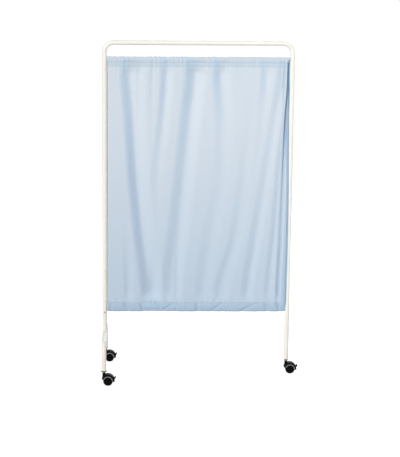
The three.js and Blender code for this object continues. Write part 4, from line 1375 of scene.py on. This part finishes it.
def make_caster_shell():
    """The hood, the web under it and the barrel in which the stem turns"""
    hood = round_sweep("caster_shell", hood_profile(), HOOD_FROM, HOOD_TO, HOOD_STEPS)
    slot = arc(SHOE_RADIUS - CUT_PAST, ROOF_END, SLOT_END, SLOT_STEPS)
    slot += arc(2 * HOOD_RADIUS, SLOT_END, ROOF_END, SLOT_OUTER_STEPS)
    combined(hood, [plate("cutter", slot, PEDAL_HALF + PEDAL_SIDE_GAP)], "DIFFERENCE")
    foot = BARREL_BOTTOM - axle_z
    outline = arc(HOOD_RADIUS - HOOD_WALL / 2, ROOF_END, WEB_FRONT, ROOF_STEPS)
    outline += [(-axle_x, BARREL_RADIUS + foot), (-axle_x, foot)]
    outline += arc(BOSS_RADIUS, BOSS_FROM, BOSS_TO, BOSS_STEPS)
    web = plate("web", outline, WEB_HALF)
    swivel = Matrix.Translation((-axle_x, 0, -axle_z))
    low, high = BARREL_BOTTOM, BARREL_TOP
    profile = [(0, low), (BARREL_RADIUS, low), (BARREL_RADIUS, high), (0, high)]
    barrel = turned("barrel", rounded(profile, BARREL_ROUND, FINE_CORNER_STEPS, closed=False))
    combined(hood, [web, moved(barrel, swivel)], "UNION")
    bore = hole_cutter(BARREL_BORE, low - CUT_PAST, high + CUT_PAST, swivel)
    axle_hole = hole_cutter(AXLE_BORE, -CUTTER_HALF, CUTTER_HALF, about_y)
    combined(hood, [bore, axle_hole], "DIFFERENCE")
    return moved(hood, to_axle)


def make_lip_highlight_bead(side):
    """A painted highlight along the hood's lip, as a flat ridge that follows its slope"""
    slope = LIP_SLOPE / (LIP_OUTER - LIP_INNER)
    profile = []
    for k in range(BEAD_PROFILE_STEPS + 1):
        angle = math.pi * k / BEAD_PROFILE_STEPS
        radius = BEAD_RADIUS - BEAD_HALF_WIDTH * math.cos(angle)
        face = HOOD_SIDE_Y - (radius - LIP_INNER) * slope
        profile.append((radius, side * (face + BEAD_LIFT + BEAD_HEIGHT * math.sin(angle))))
    return moved(round_sweep("lip_highlight_bead", profile, BEAD_FROM, BEAD_TO, BEAD_STEPS), to_axle)


def on_axle(ring, side):
    """Turn a ring onto the axle, on the near or the far side"""
    return moved(ring, to_axle @ about_y @ Matrix.Scale(side, 4, (0, 0, 1)))


def make_tyre(side):
    """A solid tyre with rounded shoulders"""
    inner = WHEEL_RADIUS - TYRE_THICKNESS
    shoulder = WHEEL_RADIUS - TYRE_SIDE_STEP
    profile = [
        (inner, WHEEL_INNER_Y), (shoulder, WHEEL_INNER_Y), (WHEEL_RADIUS, WHEEL_INNER_Y + TYRE_SHOULDER),
        (WHEEL_RADIUS, WHEEL_OUTER_Y - TYRE_SHOULDER), (shoulder, WHEEL_OUTER_Y), (inner, WHEEL_OUTER_Y),
    ]
    return on_axle(turned("tyre", rounded(profile, TYRE_SHOULDER, TYRE_CORNER_STEPS), WHEEL_SIDES), side)


def make_wheel(side):
    """Hub, dished disc and rim in one"""
    rim = WHEEL_RADIUS - TYRE_THICKNESS - SEAT_GAP
    rim_inner = rim - RIM_WALL
    face = WHEEL_OUTER_Y
    disc_inner = face - DISC_THICKNESS
    dish = face - DISC_DISH
    profile = [
        (0, disc_inner), (AXLE_BORE, disc_inner), (AXLE_BORE, HUB_INNER_Y), (HUB_RADIUS, HUB_INNER_Y),
        (HUB_RADIUS, disc_inner), (rim_inner, disc_inner), (rim_inner, WHEEL_INNER_Y), (rim, WHEEL_INNER_Y),
        (rim, face), (rim_inner, face), (rim - DISH_OUTER_SHARE * RIM_WALL, dish),
        (DISH_INNER_SHARE * HUB_RADIUS, dish), (HUB_RADIUS, face - HUB_STEP_SHARE * DISC_DISH), (0, face),
    ]
    return on_axle(turned("wheel", rounded(profile, EDGE_ROUND, closed=False), WHEEL_SIDES), side)


def pedal_tab():
    """Where the pedal's tab starts, its direction, and the step to its upper face"""
    root = Vector(polar(PEDAL_BACK, PEDAL_TAB))
    along = (Vector(PEDAL_TIP) - root).normalized()
    return root, along, Vector((-along.y, along.x)) * PEDAL_TIP_THICKNESS


def pedal_outline():
    """The brake shoe's inside, the pedal's back and the tab that a foot presses"""
    root, _, over = pedal_tab()
    tip = Vector(PEDAL_TIP)
    shoe = arc(SHOE_RADIUS, PEDAL_TO, PEDAL_FROM, SHOE_STEPS)
    back = arc(PEDAL_BACK, PEDAL_FROM, PEDAL_TAB, PEDAL_BACK_STEPS)
    top = polar(SHOE_RADIUS + PEDAL_ROOT, PEDAL_TO)
    tab = [back[-1], tuple(tip), tuple(tip + over), tuple(root + over), top, shoe[0]]
    return shoe[1:] + back[:-1] + rounded(tab, PEDAL_ROUND, FINE_CORNER_STEPS, closed=False)


def make_pedal():
    """The pedal with the hole for its pin and rounded edges"""
    pedal = plate("pedal", pedal_outline(), PEDAL_HALF)
    pin_x, pin_z = polar(PIN_ORBIT, PIN_ANGLE)
    pin = Matrix.Translation((pin_x, 0, pin_z)) @ about_y
    combined(pedal, [hole_cutter(PIN_RADIUS + SEAT_GAP, -CUTTER_HALF, CUTTER_HALF, pin)], "DIFFERENCE")
    return moved(softened(pedal), to_axle)


def ridge_tree():
    """Parallel rounded ridges, each a bar across a short line of places"""
    tree, given = new_geometry_tree("grip ridges", "Places", ("Radius", "Length"), "Plastic", "Ridges")
    points = add_node(tree, "GeometryNodeMeshToPoints", {"Mesh": given["Places"]}).outputs["Points"]
    radius, length = given["Radius"], given["Length"]
    size = add_node(tree, "ShaderNodeCombineXYZ", {0: radius, 1: length, 2: radius}).outputs[0]
    lay_spheres(tree, RIDGE_SPHERE, given["Plastic"], Points=points, Scale=size)
    return tree


def make_ridges():
    """Grip ridges across the upper face of the pedal's tab"""
    _, along, over = pedal_tab()
    first = Vector(PEDAL_TIP) + over - along * RIDGE_FIRST_SHARE * RIDGE_PITCH
    places = [first - along * k * RIDGE_PITCH for k in range(PEDAL_RIDGES)]
    ridges = new_piece("ridges", [(place.x, 0, place.y) for place in places], [])
    with_nodes(ridges, ridge_tree(), radius=RIDGE_RADIUS, length=PEDAL_HALF - RIDGE_END_GAP,
               plastic=finishes["black_plastic"])
    return moved(tidy_mesh(ridges), to_axle)


def make_nut():
    """A hexagon nut with turned chamfers, at the height of its CAD node"""
    box_low, box_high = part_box("front_stem_nut")
    low, high = box_low.z, box_high.z
    half = NUT_ACROSS_FLATS / 2
    corner = half / math.cos(math.pi / NUT_SIDES)
    bore = STEM_RADIUS + SEAT_GAP
    nut = turned("nut", [(bore, low), (corner, low), (corner, high), (bore, high)], NUT_SIDES)
    moved(nut, Matrix.Rotation(math.pi / NUT_SIDES, 4, "Z"))
    chamfer = NUT_CHAMFER_SHARE * (corner - half)
    past = corner + NUT_CONE_PAST
    cone = [(0, low), (half, low), (past, low + chamfer), (past, high - chamfer), (half, high), (0, high)]
    combined(nut, [turned("cutter", cone)], "INTERSECT")
    height = high - low
    hole = hole_cutter(bore, low - height, high + height, Matrix.Identity(4))
    return combined(nut, [hole], "DIFFERENCE")


def make_washer(leg):
    """A washer of the size of its CAD node, with rounded edges"""
    low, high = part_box(f"{leg}_washer")
    bore = STEM_RADIUS + SEAT_GAP
    radius = (high.y - low.y) / 2
    profile = [(bore, low.z), (radius, low.z), (radius, high.z), (bore, high.z)]
    return turned("washer", rounded(profile, EDGE_ROUND))


def make_casters():
    """Make each piece of a caster once and put copies of it in every leg"""
    # Each pattern with its body, its slot and the CAD node that it stands for, without the leg's name
    patterns = {
        "hooded_body": (make_caster_shell(), "caster", "black_plastic", "caster_body"),
        "pressed_pedal": (make_pedal(), "brake_pedal", "black_plastic", "brake_pedal"),
        "pedal_ridges": (make_ridges(), "brake_pedal", "black_plastic", None),
        "chamfered_nut": (make_nut(), None, "dark_steel", "stem_nut"),
    }
    for name, side in (("near", -1), ("far", 1)):
        wheel = f"{name}_wheel"
        patterns[f"{name}_round_tyre"] = (make_tyre(side), wheel, "black_tyre", f"{name}_tyre")
        patterns[f"{name}_disc_wheel"] = (make_wheel(side), wheel, "black_plastic", wheel)
        patterns[f"{name}_lip_line"] = (make_lip_highlight_bead(side), "caster", "black_plastic", None)
    for leg, place in leg_places().items():
        pieces = {**patterns, "round_washer": (make_washer(leg), None, "dark_steel", "washer")}
        for name, (pattern, body, slot, node) in pieces.items():
            piece = moved(copied(pattern, f"{leg}_{name}"), place)
            nodes = [f"{leg}_{node}"] if node else []
            # The lip's ridge gets the light grey of a painted highlight
            finish = painted_lip_highlight if name.endswith("lip_line") else None
            dress(piece, f"{leg}_{body}" if body else "frame", slot, *nodes, finish=finish)
        bpy.data.objects.remove(pieces["round_washer"][0])
    for pattern, *_ in patterns.values():
        bpy.data.objects.remove(pattern)


# Surroundings

def seen_by(tree, *rays):
    """1 for the kinds of ray that are named, and 0 for others"""
    path = add_node(tree, "ShaderNodeLightPath")
    seen = path.outputs[rays[0]]
    for ray in rays[1:]:
        seen = math_node(tree, "MAXIMUM", seen, path.outputs[ray])
    return seen


def make_stage():
    """A floor that the camera sees as white, with a faint shadow on it"""
    reach = FLOOR_REACH
    corners = [(-reach, -reach, 0), (reach, -reach, 0), (reach, reach, 0), (-reach, reach, 0)]
    floor = new_piece("floor", corners, [(0, 1, 2, 3)])
    material, tree, shader = new_material(
        "white floor", base_color=rgb(FLOOR_COLOR, FLOOR_COLOR, FLOOR_COLOR), roughness=FLOOR_ROUGHNESS,
        specular_ior_level=0.0, emission_color=rgb(1, 1, 1))
    seen = seen_by(tree, "Is Camera Ray", "Is Glossy Ray")
    tree.links.new(math_node(tree, "MULTIPLY", seen, FLOOR_LIFT), shader.inputs["Emission Strength"])
    floor.data.materials.append(material)


def add_softbox(name, place, aim, size, power):
    """A square lamp that looks at a point"""
    lamp = bpy.data.lights.new(name, "AREA")
    lamp.shape = "SQUARE"
    lamp.size = size
    lamp.energy = power
    box = add_object(name, lamp)
    box.location = place
    box.rotation_euler = (Vector(aim) - Vector(place)).to_track_quat("-Z", "Y").to_euler()


def make_light():
    """A pale surrounding that the camera sees as white, a low sun and the softboxes"""
    world = bpy.data.worlds.new("studio")
    bpy.context.scene.world = world
    world.use_nodes = True
    tree = world.node_tree
    background = tree.nodes["Background"]
    seen = seen_by(tree, "Is Camera Ray", "Is Glossy Ray", "Is Transmission Ray")
    tree.links.new(mix_colors(tree, seen, WORLD_COLOR, rgb(1, 1, 1)), background.inputs["Color"])
    tree.links.new(remap(tree, seen, (0.0, 1.0), WORLD_LEVEL), background.inputs["Strength"])
    sun = bpy.data.lights.new("key", "SUN")
    sun.energy = KEY_STRENGTH
    sun.color = KEY_COLOR
    sun.angle = math.radians(KEY_SOFTNESS)
    key = add_object("key", sun)
    key.rotation_euler = (math.radians(90 - KEY_RISE), 0, math.radians(-KEY_TURN))
    for name, (place, aim, size, power) in SOFTBOXES.items():
        add_softbox(name, place, aim, size, power)


def make_camera():
    """The camera looks along the photograph's line of sight"""
    camera = add_object("camera", bpy.data.cameras.new("camera"))
    camera.data.lens = CAMERA_LENS
    camera.data.sensor_width = CAMERA_SENSOR
    camera.data.shift_x = CAMERA_SHIFT
    camera.data.clip_end = CAMERA_FAR
    turn = Matrix.Rotation(math.radians(CAMERA_TURN), 4, "Z")
    dip = Matrix.Rotation(math.radians(90 - CAMERA_DIP), 4, "X")
    roll = Matrix.Rotation(math.radians(CAMERA_ROLL), 4, "Z")
    camera.matrix_world = Matrix.Translation(CAMERA_PLACE) @ turn @ dip @ roll
    bpy.context.scene.camera = camera
    bpy.context.scene.view_settings.view_transform = "Standard"


def finish_cad_nodes():
    """Give the CAD nodes that stay in sight their materials"""
    slots = {part["node"]: part["material_slot"] for part in frame["record"]["subparts"]}
    for name, node in frame["nodes"].items():
        if node.hide_render:
            continue
        node.data.materials.clear()
        node.data.materials.append(finishes[slots[name]])


make_camera()
make_light()
make_stage()
make_frame_tube()
make_foot_hoop()
make_rod("top_rod")
make_rod("bottom_rod")
for name, place in bush_places().items():
    make_bush(name, place)
make_spigot_screw()
make_curtain()
make_casters()
finish_cad_nodes()
